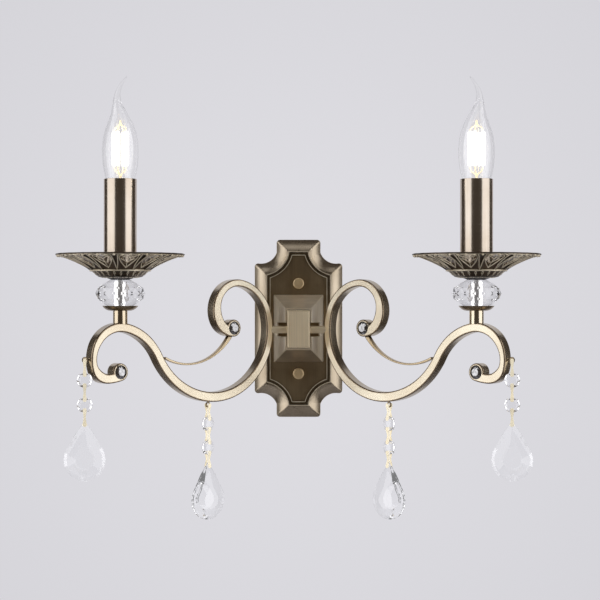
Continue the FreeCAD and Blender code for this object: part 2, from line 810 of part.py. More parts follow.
def brace(arm_solid):
    """A tapering tendril from the inner scroll's boss to the bar, cut to fit both."""
    bends = (
        (BRACE_RADIUS, BRACE_SWEEP_ANGLE * 0.3, BRACE_WIDTH),
        (BRACE_RADIUS, BRACE_SWEEP_ANGLE * 0.7, BRACE_WIDTH),
    )
    outline = bar_outline(walk(BRACE_START, BRACE_HEADING, BRACE_START_WIDTH, bends))
    outline.translate(BACK * (-BRACE_DEPTH / 2))
    tendril = swing(prism(outline, BACK * BRACE_DEPTH))
    return largest(tendril.cut(arm_solid))


def stone(centre):
    """A round cut stone in its seat, crown outwards."""
    face = -ARM_DEPTH / 2
    levels = (
        (face - STONE_CROWN, 0.55 * STONE_RADIUS, 0.5),
        (face - STONE_CROWN * 0.45, 0.84 * STONE_RADIUS, 0.0),
        (face, STONE_RADIUS, 0.5),
        (face + STONE_SEAT_DEPTH, 0.62 * STONE_RADIUS, 0.0),
    )
    cut = faceted(levels, circle, 12)
    cut.translate(V(centre.x, 0, centre.z))
    return swing(cut)


# ---------------------------------------------------------------- candle stack
def stem_tube(arm_solid):
    """A tube that stands on the arm's crown, its foot shaped to the bar."""
    height = CUP_BASE - CROWN.point.z
    tube = Part.makeCylinder(STEM_RADIUS, height).cut(Part.makeCylinder(STEM_BORE, height))
    pieces = on_candle(tube, CROWN.point.z).cut(arm_solid).Solids
    return max(pieces, key=lambda piece: piece.BoundBox.ZMax)


def dish_cup():
    """A shallow dish with a raised seat for the crystal."""
    bore = NIPPLE_RADIUS + RUNNING_GAP
    low, edge = CUP_FOOT_RADIUS, CUP_RADIUS
    swell = ((low + edge) / 2 + CUP_WALL, CUP_HEIGHT * 0.36)
    seat = RONDELLE_END_RADIUS + LOOSE_GAP
    wire = profile(
        (bore, 0),
        (low, 0),
        (swell, (edge, CUP_HEIGHT)),
        (edge - CUP_WALL, CUP_HEIGHT),
        (seat + CUP_WALL, CUP_SEAT_HEIGHT - CUP_WALL),
        (seat, CUP_SEAT_HEIGHT),
        (bore, CUP_SEAT_HEIGHT),
    )
    return on_candle(turned(wire), CUP_BASE)


def crystal_rondelle():
    """A faceted glass ring, seated in the dish and bored for the threaded tube."""
    half = RONDELLE_HEIGHT / 2
    levels = (
        (-half, RONDELLE_END_RADIUS, 0.0),
        (-half * 0.78, RONDELLE_RADIUS * 0.66, 0.5),
        (-half * 0.4, RONDELLE_RADIUS * 0.92, 0.0),
        (0.0, RONDELLE_RADIUS, 0.5),
        (half * 0.4, RONDELLE_RADIUS * 0.92, 0.0),
        (half * 0.78, RONDELLE_RADIUS * 0.66, 0.5),
        (half, RONDELLE_END_RADIUS, 0.0),
    )
    stone_ring = faceted(levels, circle, RONDELLE_SIDES)
    stone_ring.rotate(V(0, 0, 0), RIGHT, 90)
    bore = Part.makeCylinder(NIPPLE_RADIUS + LOOSE_GAP, RONDELLE_HEIGHT + 2, flat(0, -half - 1))
    return on_candle(stone_ring.cut(bore), RONDELLE_BASE + half)


def nipple():
    """The threaded tube that ties dish, crystal, pan and lampholder to the arm."""
    foot = CANDLE_BASE + NIPPLE_ABOVE_ARM
    height = PAN_INSIDE_FLOOR + NIPPLE_IN_HOLDER - foot
    tube = Part.makeCylinder(NIPPLE_RADIUS, height).cut(Part.makeCylinder(NIPPLE_BORE, height))
    return on_candle(tube, foot)


def drip_pan():
    """A shallow openwork dish: leaf windows, a scalloped rim and a rounded lower bowl."""
    hole = NIPPLE_RADIUS + RUNNING_GAP
    ring = PAN_HEIGHT - PAN_RING_DROP
    floor = PAN_FLOOR_HEIGHT + PAN_WALL
    wire = profile(
        (hole, 0),
        (PAN_FOOT_RADIUS, 0),
        (PAN_FLOOR_RADIUS, PAN_FLOOR_HEIGHT),
        (PAN_BOWL_FOOT_RADIUS, PAN_BOWL_HEIGHT),
        (PAN_BOWL_RADIUS, ring - PAN_RING_BAND),
        (PAN_RING_RADIUS, ring - PAN_RING_BAND),
        (PAN_RING_RADIUS, ring),
        (PAN_RADIUS, PAN_HEIGHT - PAN_LIP),
        (PAN_RADIUS, PAN_HEIGHT),
        (PAN_RADIUS - PAN_WALL, PAN_HEIGHT),
        (PAN_RING_RADIUS - PAN_WALL, ring + PAN_WALL),
        (PAN_BOWL_RADIUS - PAN_WALL, ring),
        (PAN_BOWL_FOOT_RADIUS - PAN_WALL / 2, PAN_BOWL_HEIGHT + PAN_WALL),
        (SLEEVE_RADIUS + LOOSE_GAP, floor),
        (hole, floor),
    )
    step = 360.0 / PAN_LEAVES
    windows, ribs = [], []
    for leaf in range(PAN_LEAVES):
        windows.append(about_upright(leaf_window(), (leaf + 0.5) * step))
        for side in (-1, 1):
            ribs.append(about_upright(pan_rib(), leaf * step + side * PAN_RIB_SPREAD))
    pan = turned(wire).multiFuse(ribs)
    pan = pan.common(prism(scalloped_circle(), UP * (PAN_HEIGHT + 2)))
    pan = pan.cut(Part.makeCompound(windows)).removeSplitter()
    return on_candle(pan, PAN_BASE)


def about_upright(shape, degrees):
    placed = shape.copy()
    placed.rotate(V(0, 0, 0), UP, degrees)
    return placed


def pan_rib():
    """A low web under the dish, from its ring out to its rim."""
    ring = PAN_HEIGHT - PAN_RING_DROP
    steepness = (PAN_HEIGHT - PAN_LIP - ring) / (PAN_RADIUS - PAN_RING_RADIUS)
    end = PAN_RADIUS - PAN_LEAF_FROM_RIM / 2
    under_end = ring + (end - PAN_RING_RADIUS) * steepness
    wire = profile(
        (PAN_RING_RADIUS - PAN_WALL, ring - PAN_RIB_DROP),
        (PAN_RING_RADIUS, ring - PAN_RIB_DROP),
        (end, under_end - PAN_RIB_DROP),
        (end, under_end + PAN_WALL / 2),
        (PAN_RING_RADIUS - PAN_WALL, ring + PAN_WALL / 2),
    )
    rib = prism(wire, BACK * PAN_RIB_THICK)
    rib.translate(BACK * (-PAN_RIB_THICK / 2))
    return rib


def scalloped_circle():
    """The pan's rim: two shallow lobes to each leaf."""
    lobes = 2 * PAN_LEAVES
    low = PAN_RADIUS - PAN_SCALLOP_DEPTH
    edges = []
    for lobe in range(lobes):
        points = []
        for share, radius in ((0.0, low), (0.5, PAN_RADIUS), (1.0, low)):
            turn = 2 * math.pi * (lobe + share) / lobes
            points.append(V(radius * math.cos(turn), radius * math.sin(turn), -1))
        edges.append(Part.Arc(*points).toShape())
    return Part.Wire(edges)


def leaf_window():
    """A pointed leaf, wider towards the rim, as a cutter through the dish."""
    inner = V(PAN_RING_RADIUS + PAN_LEAF_FROM_RING, 0, -1)
    outer = V(PAN_RADIUS - PAN_LEAF_FROM_RIM, 0, -1)
    middle = inner.x + (outer.x - inner.x) * 0.58
    half = math.pi * middle / PAN_LEAVES - PAN_LEAF_APART / 2
    sides = []
    for side in (-1, 1):
        sides.append(Part.Arc(inner, V(middle, side * half, -1), outer).toShape())
    return prism(Part.Wire(sides), UP * (PAN_HEIGHT + 2))


def candle_sleeve():
    """Hides the lampholder and the bulb's neck, up to where the bulb swells."""
    length = HOLDER_HEIGHT + LOOSE_GAP + BULB_NECK_SWELL[1]
    tube = Part.makeCylinder(SLEEVE_RADIUS, length)
    tube = tube.cut(Part.makeCylinder(SLEEVE_RADIUS - SLEEVE_WALL, length))
    return on_candle(tube, PAN_INSIDE_FLOOR)


def lampholder():
    """An insulating tube inside the sleeve, its socket open at the top."""
    socket_floor = HOLDER_HEIGHT - HOLDER_CAVITY
    body = Part.makeCylinder(HOLDER_RADIUS, HOLDER_HEIGHT)
    body = body.cut(Part.makeCylinder(CAP_RADIUS + LOOSE_GAP, HOLDER_CAVITY, flat(0, socket_floor)))
    body = body.cut(Part.makeCylinder(NIPPLE_RADIUS + RUNNING_GAP, NIPPLE_IN_HOLDER))
    body = body.cut(Part.makeCylinder(NIPPLE_BORE, socket_floor - HOLDER_FLOOR))
    return on_candle(body, PAN_INSIDE_FLOOR)


def bulb_belly(wall):
    """The bulb's round body drawn inwards by a wall, above its neck."""
    swell, swell_height = BULB_NECK_SWELL
    shoulder, shoulder_height = BULB_SHOULDER
    wire = profile(
        (0, wall),
        (BULB_NECK_RADIUS - wall, wall),
        ((swell - wall, swell_height), (BULB_RADIUS - wall, BULB_WIDEST_AT)),
        ((shoulder - wall, shoulder_height), (BULB_TIP_RADIUS - wall, BULB_TIP_FROM - wall)),
        (0, BULB_TIP_FROM - wall),
    )
    return turned(wire)


def bulb_glass():
    """A hollow round body that narrows to a solid tip, drawn out like a flame."""
    sections = []
    for share, radius, lean in BULB_TIP:
        height = BULB_TIP_FROM + share * (BULB_HEIGHT - BULB_TIP_FROM)
        centre = V(-lean * BULB_TIP_RADIUS, 0, height)
        sections.append(Part.Wire(Part.makeCircle(radius * BULB_TIP_RADIUS, centre, UP)))
    glass = bulb_belly(0.0).fuse(Part.makeLoft(sections, True)).cut(bulb_belly(BULB_WALL))
    return on_candle(glass.removeSplitter(), BULB_BASE)


def bulb_cap():
    shell = Part.makeCylinder(CAP_RADIUS, CAP_LENGTH)
    contact = Part.makeCone(CAP_CONTACT_RADIUS, CAP_RADIUS, CAP_CONTACT_HEIGHT, flat(0, -CAP_CONTACT_HEIGHT))
    return on_candle(shell.fuse(contact), BULB_BASE - CAP_LENGTH)


def filaments():
    """Upright glowing strips, held to a glass post by a bar at each end."""
    solid = rod(POST_RADIUS, flat(0, BULB_WALL), flat(0, FILAMENT_RISE + FILAMENT_LENGTH))
    width, middle = FILAMENT_WIDTH, FILAMENT_RISE + FILAMENT_LENGTH / 2
    bar_middle = (FILAMENT_LENGTH - SUPPORT_THICK) / 2
    for side in (-1, 1):
        strip = box(width, width, FILAMENT_LENGTH, V(side * FILAMENT_SPREAD, 0, middle))
        bar = box(2 * FILAMENT_SPREAD, width, SUPPORT_THICK, flat(0, middle + side * bar_middle))
        for quarter in (45, 135):
            for piece in (strip, bar):
                turned_piece = piece.copy()
                turned_piece.rotate(V(0, 0, 0), UP, quarter)
                solid = solid.fuse(turned_piece)
    return on_candle(solid.removeSplitter(), BULB_BASE)


# ---------------------------------------------------------------- crystal strings
def hang(shape, pin, yaw):
    """From a hole's own axis along Y to a pin on the light, turned about the upright."""
    placed = shape.copy()
    placed.rotate(V(0, 0, 0), UP, yaw)
    placed.translate(pin)
    return placed


def eye_on(edge_point, outwards, neck, string_yaw):
    """An eye screw: a ring that stands off the bar on a shank that goes into it."""
    centre = edge_point + outwards * (neck + EYE_RADIUS + EYE_WIRE)
    root = edge_point - outwards * EYE_SHANK
    wire_section = []
    for k in range(EYE_SECTION_SIDES + 1):
        turn = 2 * math.pi * (k + 0.5) / EYE_SECTION_SIDES
        wire_section.append(V(EYE_RADIUS + EYE_WIRE * math.cos(turn), EYE_WIRE * math.sin(turn), 0))
    ring = Part.Face(Part.makePolygon(wire_section)).revolve(V(0, 0, 0), BACK, 360)
    ring = hang(ring, centre, -ARM_SPLAY)
    shank = rod(EYE_WIRE, root, centre - outwards * EYE_RADIUS)
    hole = rod(EYE_WIRE + RUNNING_GAP, root, edge_point + outwards * EYE_WIRE)
    drop = EYE_RADIUS - EYE_WIRE - CLIP_PIN_RADIUS - RUNNING_GAP
    solid = ring.fuse(shank).removeSplitter()
    return {"solid": solid, "hole": hole, "pin": centre - UP * drop, "yaw": string_yaw}


def inner_eye():
    """Under the bowl, with its string turned to match the arm."""
    down = BOWL_FOOT.left() * -1
    edge = swing_point(BOWL_FOOT.edge(-1))
    return eye_on(edge, swing_point(down) - swing_point(V(0, 0, 0)), 0.0, -ARM_SPLAY)


def outer_eye():
    """On the outermost face of the outer scroll, with its string facing forward."""
    edge = swing_point(OUTERMOST.edge(1))
    outwards = swing_point(RIGHT) - swing_point(V(0, 0, 0))
    return eye_on(edge, outwards, OUTER_EYE_NECK, OUTER_STRING_YAW)


def clip():
    """A bow-shaped double strip with a pin through each end, hanging from the upper pin."""
    inside = BEAD_THICK / 2 + LOOSE_GAP
    waist = CLIP_WAIST / 2
    end = CLIP_END_RADIUS
    nip = end * math.sqrt(0.5)
    low = -CLIP_LENGTH
    wire = profile(
        (-nip, end),
        (nip, end),
        (end, 0),
        (waist, low / 2),
        (end, low),
        (nip, low - end),
        (-nip, low - end),
        (-end, low),
        (-waist, low / 2),
        (-end, 0),
    )
    solid = None
    for side in (-1, 1):
        strip = prism(wire, BACK * CLIP_THICK)
        strip.translate(BACK * (side * (inside + CLIP_THICK / 2) - CLIP_THICK / 2))
        solid = strip if solid is None else solid.fuse(strip)
    reach = BACK * (inside + CLIP_THICK)
    for z in (0.0, low):
        solid = solid.fuse(rod(CLIP_PIN_RADIUS, flat(0, z) - reach, flat(0, z) + reach))
    return solid.removeSplitter()


def pin_hole(z):
    reach = BACK * BEAD_RADIUS * 2
    return rod(CLIP_PIN_RADIUS + RUNNING_GAP, flat(0, z) - reach, flat(0, z) + reach)


def bead():
    """An eight-sided cut bead with a hole at each end, hanging from the upper hole."""
    half = BEAD_THICK / 2
    levels = (
        (-half, BEAD_RADIUS * 0.55, 0.5),
        (-BEAD_GIRDLE / 2, BEAD_RADIUS, 0.0),
        (BEAD_GIRDLE / 2, BEAD_RADIUS, 0.0),
        (half, BEAD_RADIUS * 0.55, 0.5),
    )
    cut = faceted(levels, circle, 8)
    for z in (-BEAD_HOLE_FROM_CENTRE, BEAD_HOLE_FROM_CENTRE):
        cut = cut.cut(pin_hole(z))
    cut.translate(UP * -BEAD_HOLE_FROM_CENTRE)
    return cut


def pear(part_of_turn):
    """The drop's outline about the centre of its round end, from the top round."""
    big = DROP_WIDTH / 2
    reach = DROP_LENGTH - big - DROP_NECK_RADIUS
    touch = math.acos((big - DROP_NECK_RADIUS) / reach)
    turn = 2 * math.pi * (part_of_turn % 1.0)
    from_top = min(turn, 2 * math.pi - turn)
    radius = big
    if from_top < touch:
        radius = min(big / math.cos(touch - from_top), reach + DROP_NECK_RADIUS)
    return radius * math.sin(turn), radius * math.cos(turn)


def pear_drop():
    half = DROP_THICK / 2
    levels = (
        (-half, 0.42, 0.5),
        (-half * 0.5, 0.8, 0.0),
        (-DROP_GIRDLE / 2, 1.0, 0.0),
        (DROP_GIRDLE / 2, 1.0, 0.0),
        (half * 0.5, 0.8, 0.0),
        (half, 0.42, 0.5),
    )
    cut = faceted(levels, pear, DROP_SIDES)
    hole = DROP_LENGTH - DROP_WIDTH / 2 - DROP_HOLE_FROM_TOP
    cut = cut.cut(pin_hole(hole))
    cut.translate(UP * -hole)
    return cut


def crystal_string(eye):
    """Pieces in the order in which they hang, each with the pin that carries it."""
    pieces = []
    pin = eye["pin"]
    for name, shape, length in (
        ("clip_1", clip(), CLIP_LENGTH),
        ("bead_1", bead(), 2 * BEAD_HOLE_FROM_CENTRE),
        ("clip_2", clip(), CLIP_LENGTH),
        ("bead_2", bead(), 2 * BEAD_HOLE_FROM_CENTRE),
        ("clip_3", clip(), CLIP_LENGTH),
        ("drop", pear_drop(), 0.0),
    ):
        pieces.append((name, hang(shape, pin, eye["yaw"]), pin))
        pin = pin - UP * length
    return pieces


# ---------------------------------------------------------------- wires
def riser(arm_solid):
    """The lead from the arm up through the threaded tube into the lampholder."""
    top = PAN_INSIDE_FLOOR + HOLDER_HEIGHT - HOLDER_CAVITY - HOLDER_FLOOR
    lead = rod(WIRE_RADIUS, CANDLE, V(CANDLE.x, CANDLE.y, top)).cut(arm_solid)
    return max(lead.Solids, key=lambda piece: piece.BoundBox.ZMax)


def feed_wire(arm_solid):
    """From a terminal down behind the panel, forward into the block and out along the rod."""
    side = WIRE_RADIUS + WIRE_PAIR_GAP / 2
    depth = -(PANEL_HEIGHT - PLATE_WALL - TERMINAL_DEPTH / 2)
    terminal_foot = TERMINAL_RAISE - TERMINAL_HEIGHT / 2
    corners = [
        V(TERMINAL_PITCH, depth, TERMINAL_RAISE),
        V(TERMINAL_PITCH, depth, terminal_foot - WIRE_BEND),
        V(side, depth, ROD_PLACE.z + 2.4 * WIRE_BEND),
        V(side, depth, ROD_PLACE.z),
        V(side, ROD_PLACE.y, ROD_PLACE.z),
        ROD_PLACE,
    ]
    return largest(pipe(rounded_path(corners, WIRE_BEND), WIRE_RADIUS).cut(arm_solid))


# ---------------------------------------------------------------- the whole light
def build():
    os.makedirs("parts", exist_ok=True)
    save("backplate", backplate())
    save("wall_bracket", wall_bracket())
    save("bracket_studs", *bracket_studs())
    save("stud_nuts", *stud_nuts())
    save("cap_nut_upper", cap_nut(STUD_SPACING / 2))
    save("cap_nut_lower", cap_nut(-STUD_SPACING / 2))
    save("earth_screw", earth_screw())
    save("terminal_block", terminal_block())
    save("pyramid_boss", pyramid_boss())
    save("centre_block", centre_block())
    save("block_bolts", *block_bolts())

    right_arm = arm()
    arms = both_sides(right_arm)
    braces = both_sides(brace(right_arm))
    pans = both_sides(drip_pan())
    sleeves = both_sides(candle_sleeve())
    crystals = both_sides(crystal_rondelle())
    holders = both_sides(lampholder())
    glasses = both_sides(bulb_glass())
    caps = both_sides(bulb_cap())
    lights = both_sides(filaments())
    for side in ("left", "right"):
        save(side + "_arm", arms[side])
        save(side + "_brace", braces[side])
        save(side + "_crystal", crystals[side])
        save(side + "_drip_pan", pans[side])
        save(side + "_sleeve", sleeves[side])
        save(side + "_lampholder", holders[side])
        save(side + "_bulb_glass", glasses[side])
        save(side + "_bulb_cap", caps[side])
        save(side + "_filaments", lights[side])
    save("arm_rods", *both_sides(arm_rod(right_arm)).values())
    save("stem_tubes", *both_sides(stem_tube(right_arm)).values())
    save("dish_cups", *both_sides(dish_cup()).values())
    save("threaded_nipples", *both_sides(nipple()).values())
    stones = []
    for centre in scroll_boss_centres():
        stones += both_sides(stone(centre)).values()
    save("scroll_stones", *stones)
    wires = []
    for wire in (feed_wire(right_arm), riser(right_arm)):
        wires += both_sides(wire).values()
    save("lead_wires", *wires)

    eyes = []
    for place, eye in (("inner", inner_eye()), ("outer", outer_eye())):
        eyes += both_sides(eye["solid"]).values()
        for name, solid, _ in crystal_string(eye):
            for side, shape in both_sides(solid).items():
                save("%s_%s_%s" % (side, place, name), shape)
    save("string_eyes", *eyes)


build()
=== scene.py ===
import json
from math import cos, radians, sin, tau

import bmesh
import bpy
from mathutils import Matrix, Vector
from mathutils.kdtree import KDTree


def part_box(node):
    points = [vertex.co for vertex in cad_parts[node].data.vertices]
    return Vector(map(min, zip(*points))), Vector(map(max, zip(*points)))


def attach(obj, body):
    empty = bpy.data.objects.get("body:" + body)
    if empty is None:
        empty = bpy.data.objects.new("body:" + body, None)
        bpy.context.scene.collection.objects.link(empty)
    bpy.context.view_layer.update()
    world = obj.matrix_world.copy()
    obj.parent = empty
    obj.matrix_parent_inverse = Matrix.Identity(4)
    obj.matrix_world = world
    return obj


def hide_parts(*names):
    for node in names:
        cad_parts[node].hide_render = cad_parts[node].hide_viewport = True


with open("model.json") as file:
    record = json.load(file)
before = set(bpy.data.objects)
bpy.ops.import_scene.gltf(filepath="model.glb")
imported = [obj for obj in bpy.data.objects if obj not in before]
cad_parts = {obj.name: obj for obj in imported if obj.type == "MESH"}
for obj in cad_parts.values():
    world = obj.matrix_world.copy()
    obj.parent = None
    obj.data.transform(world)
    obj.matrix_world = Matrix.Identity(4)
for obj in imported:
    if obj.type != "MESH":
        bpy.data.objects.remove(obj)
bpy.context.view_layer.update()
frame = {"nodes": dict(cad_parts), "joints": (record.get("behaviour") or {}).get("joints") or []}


# ---- Wall bracket, its studs, nuts and earth screw
# A strip of zinc-plated sheet steel, screwed to the wall through its two slots. Two studs are
# riveted into it and hold the plate, and the earth wire is clamped under the small screw.
def add_node(tree, kind, inputs=(), **settings):
    """Adds a node to a tree: its inputs are values, or the sockets that feed them."""
    node = tree.nodes.new(kind)
    for setting, value in settings.items():
        setattr(node, setting, value)
    for socket, value in dict(inputs).items():
        if isinstance(value, bpy.types.NodeSocket):
            tree.links.new(value, node.inputs[socket])
        else:
            node.inputs[socket].default_value = value
    return node


class Finish:
    """A node material round one Principled shader, patterned on Object coordinates."""

    def __init__(self, name, colour, **sockets):
        self.material = bpy.data.materials.new(name)
        self.material.use_nodes = True
        self.tree = self.material.node_tree
        self.shader = self.tree.nodes["Principled BSDF"]
        self.place = self.add("ShaderNodeTexCoord").outputs["Object"]
        self.shader.inputs["Base Color"].default_value = (*colour, 1)
        for socket, value in sockets.items():
            self.shader.inputs[socket.replace("_", " ")].default_value = value

    def add(self, kind, inputs=(), **settings):
        return add_node(self.tree, kind, inputs, **settings)

    def feed(self, socket, value):
        self.tree.links.new(value, self.shader.inputs[socket])

    def noise(self, waves, detail=3):
        """Noise with that many waves in a metre along X, Y and Z."""
        stretched = self.add("ShaderNodeMapping", {"Vector": self.place, "Scale": waves})
        inputs = {"Vector": stretched.outputs[0], "Scale": 1.0, "Detail": detail}
        return self.add("ShaderNodeTexNoise", inputs).outputs["Fac"]

    def ramp(self, value, *stops):
        """Turns a value into colours, or into greys where a stop is a number."""
        node = self.add("ShaderNodeValToRGB", {"Fac": value})
        points = node.color_ramp.elements
        while len(points) < len(stops):
            points.new(0.5)
        for point, (at, colour) in zip(points, stops):
            point.position = at
            point.color = (*colour, 1) if isinstance(colour, tuple) else (colour, colour, colour, 1)
        return node.outputs["Color"]

    def multiply(self, first, second):
        inputs = {"Factor": 1.0, "A": first, "B": second}
        mixed = self.add("ShaderNodeMix", inputs, data_type="RGBA", blend_type="MULTIPLY")
        return mixed.outputs["Result"]

    def bump(self, height, depth, strength=1.0):
        inputs = {"Height": height, "Distance": depth, "Strength": strength}
        self.feed("Normal", self.add("ShaderNodeBump", inputs).outputs["Normal"])


def zinc_plating():
    finish = Finish("zinc_plated_steel", (0.55, 0.56, 0.58), Metallic=1.0)
    spangle = finish.noise((140, 140, 140), detail=2)
    dull, bright = (0.44, 0.45, 0.48), (0.66, 0.67, 0.68)
    finish.feed("Base Color", finish.ramp(spangle, (0.3, dull), (0.7, bright)))
    rolling = finish.noise((900, 900, 60))
    finish.feed("Roughness", finish.ramp(rolling, (0.2, 0.26), (0.8, 0.42)))
    finish.bump(rolling, depth=0.00003)
    return finish.material


def clad(material, *nodes):
    """Gives CAD nodes their finish."""
    for node in nodes:
        frame["nodes"][node].data.materials.clear()
        frame["nodes"][node].data.materials.append(material)


zinc = zinc_plating()
clad(zinc, "wall_bracket", "bracket_studs", "stud_nuts", "earth_screw")


# ---- Terminal block and leads
# A moulded block of pale thermoplastic behind the plate, where the house wires meet the leads.
# The leads are insulated wires, from the block into the rods and up through the candle stacks.
def moulded_plastic(name, colour, pale, roughness):
    finish = Finish(name, colour)
    flow = finish.noise((60, 60, 60), detail=4)
    finish.feed("Base Color", finish.ramp(flow, (0.35, colour), (0.65, pale)))
    grain = finish.noise((1800, 1800, 1800), detail=2)
    smoothest, roughest = roughness - 0.08, roughness + 0.08
    finish.feed("Roughness", finish.ramp(grain, (0.2, smoothest), (0.8, roughest)))
    finish.bump(grain, depth=0.00002)
    return finish.material


clad(moulded_plastic("terminal_thermoplastic", (0.72, 0.70, 0.64), (0.80, 0.78, 0.73), 0.42),
     "terminal_block")
clad(moulded_plastic("lead_insulation_clear_grey", (0.55, 0.54, 0.50), (0.66, 0.65, 0.61), 0.35),
     "lead_wires")


# ---- Wall plate
# A hollow brass casting in the shape of a scalloped octagon, with a bowed border, a crest, a
# groove, a thin bead and a sunk panel. It is brushed and browned, with painted shade in its
# crevices and darkest in its groove, and its rim, mitres, crest and bead are pale: worn, and also a
# painted highlight.
def antique_brass(name, waves, pale, brown, rough=(0.28, 0.36), patina_and_shade_reach=0.0, depth_shade=None, metal=1.0,
                  painted_glare=0.0):
    """Brushed brass. Its crevices may be darkened with painted shade within a given reach, which
    also stands for the patina there. A relief's back and front depths, with tones between them,
    darken it
    by depth: painted shade. A glare gives it a painted glow of its own colour, standing in for the
    lamps' light that thin pieces throw back from every side."""
    finish = Finish(name, pale, Metallic=metal, Emission_Strength=painted_glare)
    cloud = finish.noise((22, 22, 22), detail=4)
    colour = finish.ramp(cloud, (0.32, brown), (0.62, pale))
    brushing = finish.noise(waves)
    colour = finish.multiply(colour, finish.ramp(brushing, (0.30, 0.86), (0.70, 1.0)))
    # painted shade: the relief is darkened by its depth
    if depth_shade:
        back, front, tones = depth_shade
        depth = finish.add("ShaderNodeSeparateXYZ", {"Vector": finish.place}).outputs["Y"]
        inputs = {"Value": depth, "From Min": back, "From Max": front}
        share = finish.add("ShaderNodeMapRange", inputs).outputs[0]
        colour = finish.multiply(colour, finish.ramp(share, *tones))
    # painted shade: ambient occlusion darkens the crevices, which also stands for the patina there
    if patina_and_shade_reach:
        shade = finish.add("ShaderNodeAmbientOcclusion", {"Distance": patina_and_shade_reach}, samples=6)
        crevice, open_face = (0.10, 0.075, 0.05), (1.0, 1.0, 1.0)
        dark = finish.ramp(shade.outputs["AO"], (0.30, crevice), (0.85, open_face))
        colour = finish.multiply(colour, dark)
    finish.feed("Base Color", colour)
    # the glare's painted glow takes the brass's own colour
    finish.feed("Emission Color", colour)
    finish.feed("Roughness", finish.ramp(brushing, (0.25, rough[0]), (0.75, rough[1])))
    finish.bump(brushing, depth=0.00001, strength=0.3)
    return finish.material


def solid_copy(node):
    """A copy of a CAD solid, its loose triangles merged into one skin."""
    shape = bmesh.new()
    shape.from_mesh(frame["nodes"][node].data)
    bmesh.ops.remove_doubles(shape, verts=shape.verts, dist=2e-6)
    bmesh.ops.dissolve_limit(shape, angle_limit=radians(0.5), verts=shape.verts, edges=shape.edges)
    return shape


def cut_across(shape, place, along, **settings):
    """Cuts a shape's faces along a plane, so that they can bend there or end there."""
    everything = shape.verts[:] + shape.edges[:] + shape.faces[:]
    return bmesh.ops.bisect_plane(shape, geom=everything, dist=1e-7, plane_co=place,
                                  plane_no=along, **settings)


def arched(share, rise):
    """The height of a shallow arch at a share of its span."""
    return 4 * rise * share * (1 - share)


def paint(shape, slot, chosen):
    """Gives the chosen faces another of the piece's materials."""
    for face in shape.faces:
        if chosen(face):
            face.material_index = slot


def ease(shape, width, chosen=lambda edge: True, corner=35, segments=2, held_back=True, slot=None):
    """Rounds the chosen sharp edges, held back where room is short. A slot gives their finish."""
    sharp = [edge for edge in shape.edges
             if edge.is_manifold and edge.calc_face_angle(0) > radians(corner) and chosen(edge)]
    made = bmesh.ops.bevel(shape, geom=sharp, offset=width, segments=segments, affect="EDGES",
                           profile=0.5, material=-1, clamp_overlap=held_back)["faces"]
    if slot is not None:
        for face in made:
            face.material_index = slot
    return shape


def set_out(name, data):
    """Makes an object of its data and stands it in the scene, at the origin."""
    piece = bpy.data.objects.new(name, data)
    bpy.context.scene.collection.objects.link(piece)
    return piece


def finished(shape, name, *materials, sharp_over=50, evened=True):
    """Makes the object of a bmesh, its broad faces flat and its rounded edges smooth."""
    for face in shape.faces:
        face.smooth = True
    mesh = bpy.data.meshes.new(name)
    shape.to_mesh(mesh)
    shape.free()
    mesh.set_sharp_from_angle(angle=radians(sharp_over))
    for material in materials:
        mesh.materials.append(material)
    piece = set_out(name, mesh)
    if evened:
        piece.modifiers.new("even_shading", "WEIGHTED_NORMAL").keep_sharp = True
    return piece


def seat(piece, *nodes, slot="antique_brass", body="sconce"):
    """Puts a piece in the place of its CAD nodes, on their body."""
    if nodes:
        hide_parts(*nodes)
    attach(piece, body)


# depths along Y, with the wall's face at 0
rim_depth, crest_depth, bead_depth, relief_back = -0.009, -0.0185, -0.0166, -0.0138
border_rise, rim_round, line_round = 0.00145, 0.0009, 0.0004
border_slot, panel_slot, worn_highlight_slot = range(3)


def faces_front(face):
    return face.normal.y < -0.95


def in_relief(face):
    """The crest, groove, bead and panel: their flat faces, and the walls between them."""
    is_wall = abs(face.normal.y) < 0.3
    return face.calc_center_median().y < relief_back and (faces_front(face) or is_wall)


def on_slope(face):
    """The border, which slopes from the rim up to the crest."""
    return face.material_index == border_slot and face.normal.y < -0.3


def at_depth(part, depth):
    """An edge or a face that lies at one depth of the casting."""
    return all(abs(vert.co.y - depth) < 2e-4 for vert in part.verts)


def on_border(edge):
    """The outer rim, and the mitres that run over the border's slope."""
    return at_depth(edge, rim_depth) or all(on_slope(face) for face in edge.link_faces)


plate = solid_copy("backplate")
paint(plate, panel_slot, in_relief)
for share in (0.2, 0.4, 0.6, 0.8):
    cut_across(plate, (0, rim_depth + (crest_depth - rim_depth) * share, 0), (0, 1, 0))
for vert in plate.verts:
    if all(on_slope(face) for face in vert.link_faces):
        vert.co.y -= arched((vert.co.y - rim_depth) / (crest_depth - rim_depth), border_rise)
# The rim and the mitres, then the crest and the bead, take the pale worn finish, which is also a
# painted highlight.
ease(plate, rim_round, on_border, corner=20, segments=3, slot=worn_highlight_slot)
for depth in (crest_depth, bead_depth):
    paint(plate, worn_highlight_slot, lambda face: faces_front(face) and at_depth(face, depth))
    ease(plate, line_round, lambda edge: at_depth(edge, depth), corner=20, slot=worn_highlight_slot)
border_brass = antique_brass("plate_border_brass", (700, 700, 30), pale=(0.62, 0.53, 0.41),
                             brown=(0.44, 0.36, 0.26), rough=(0.26, 0.34))
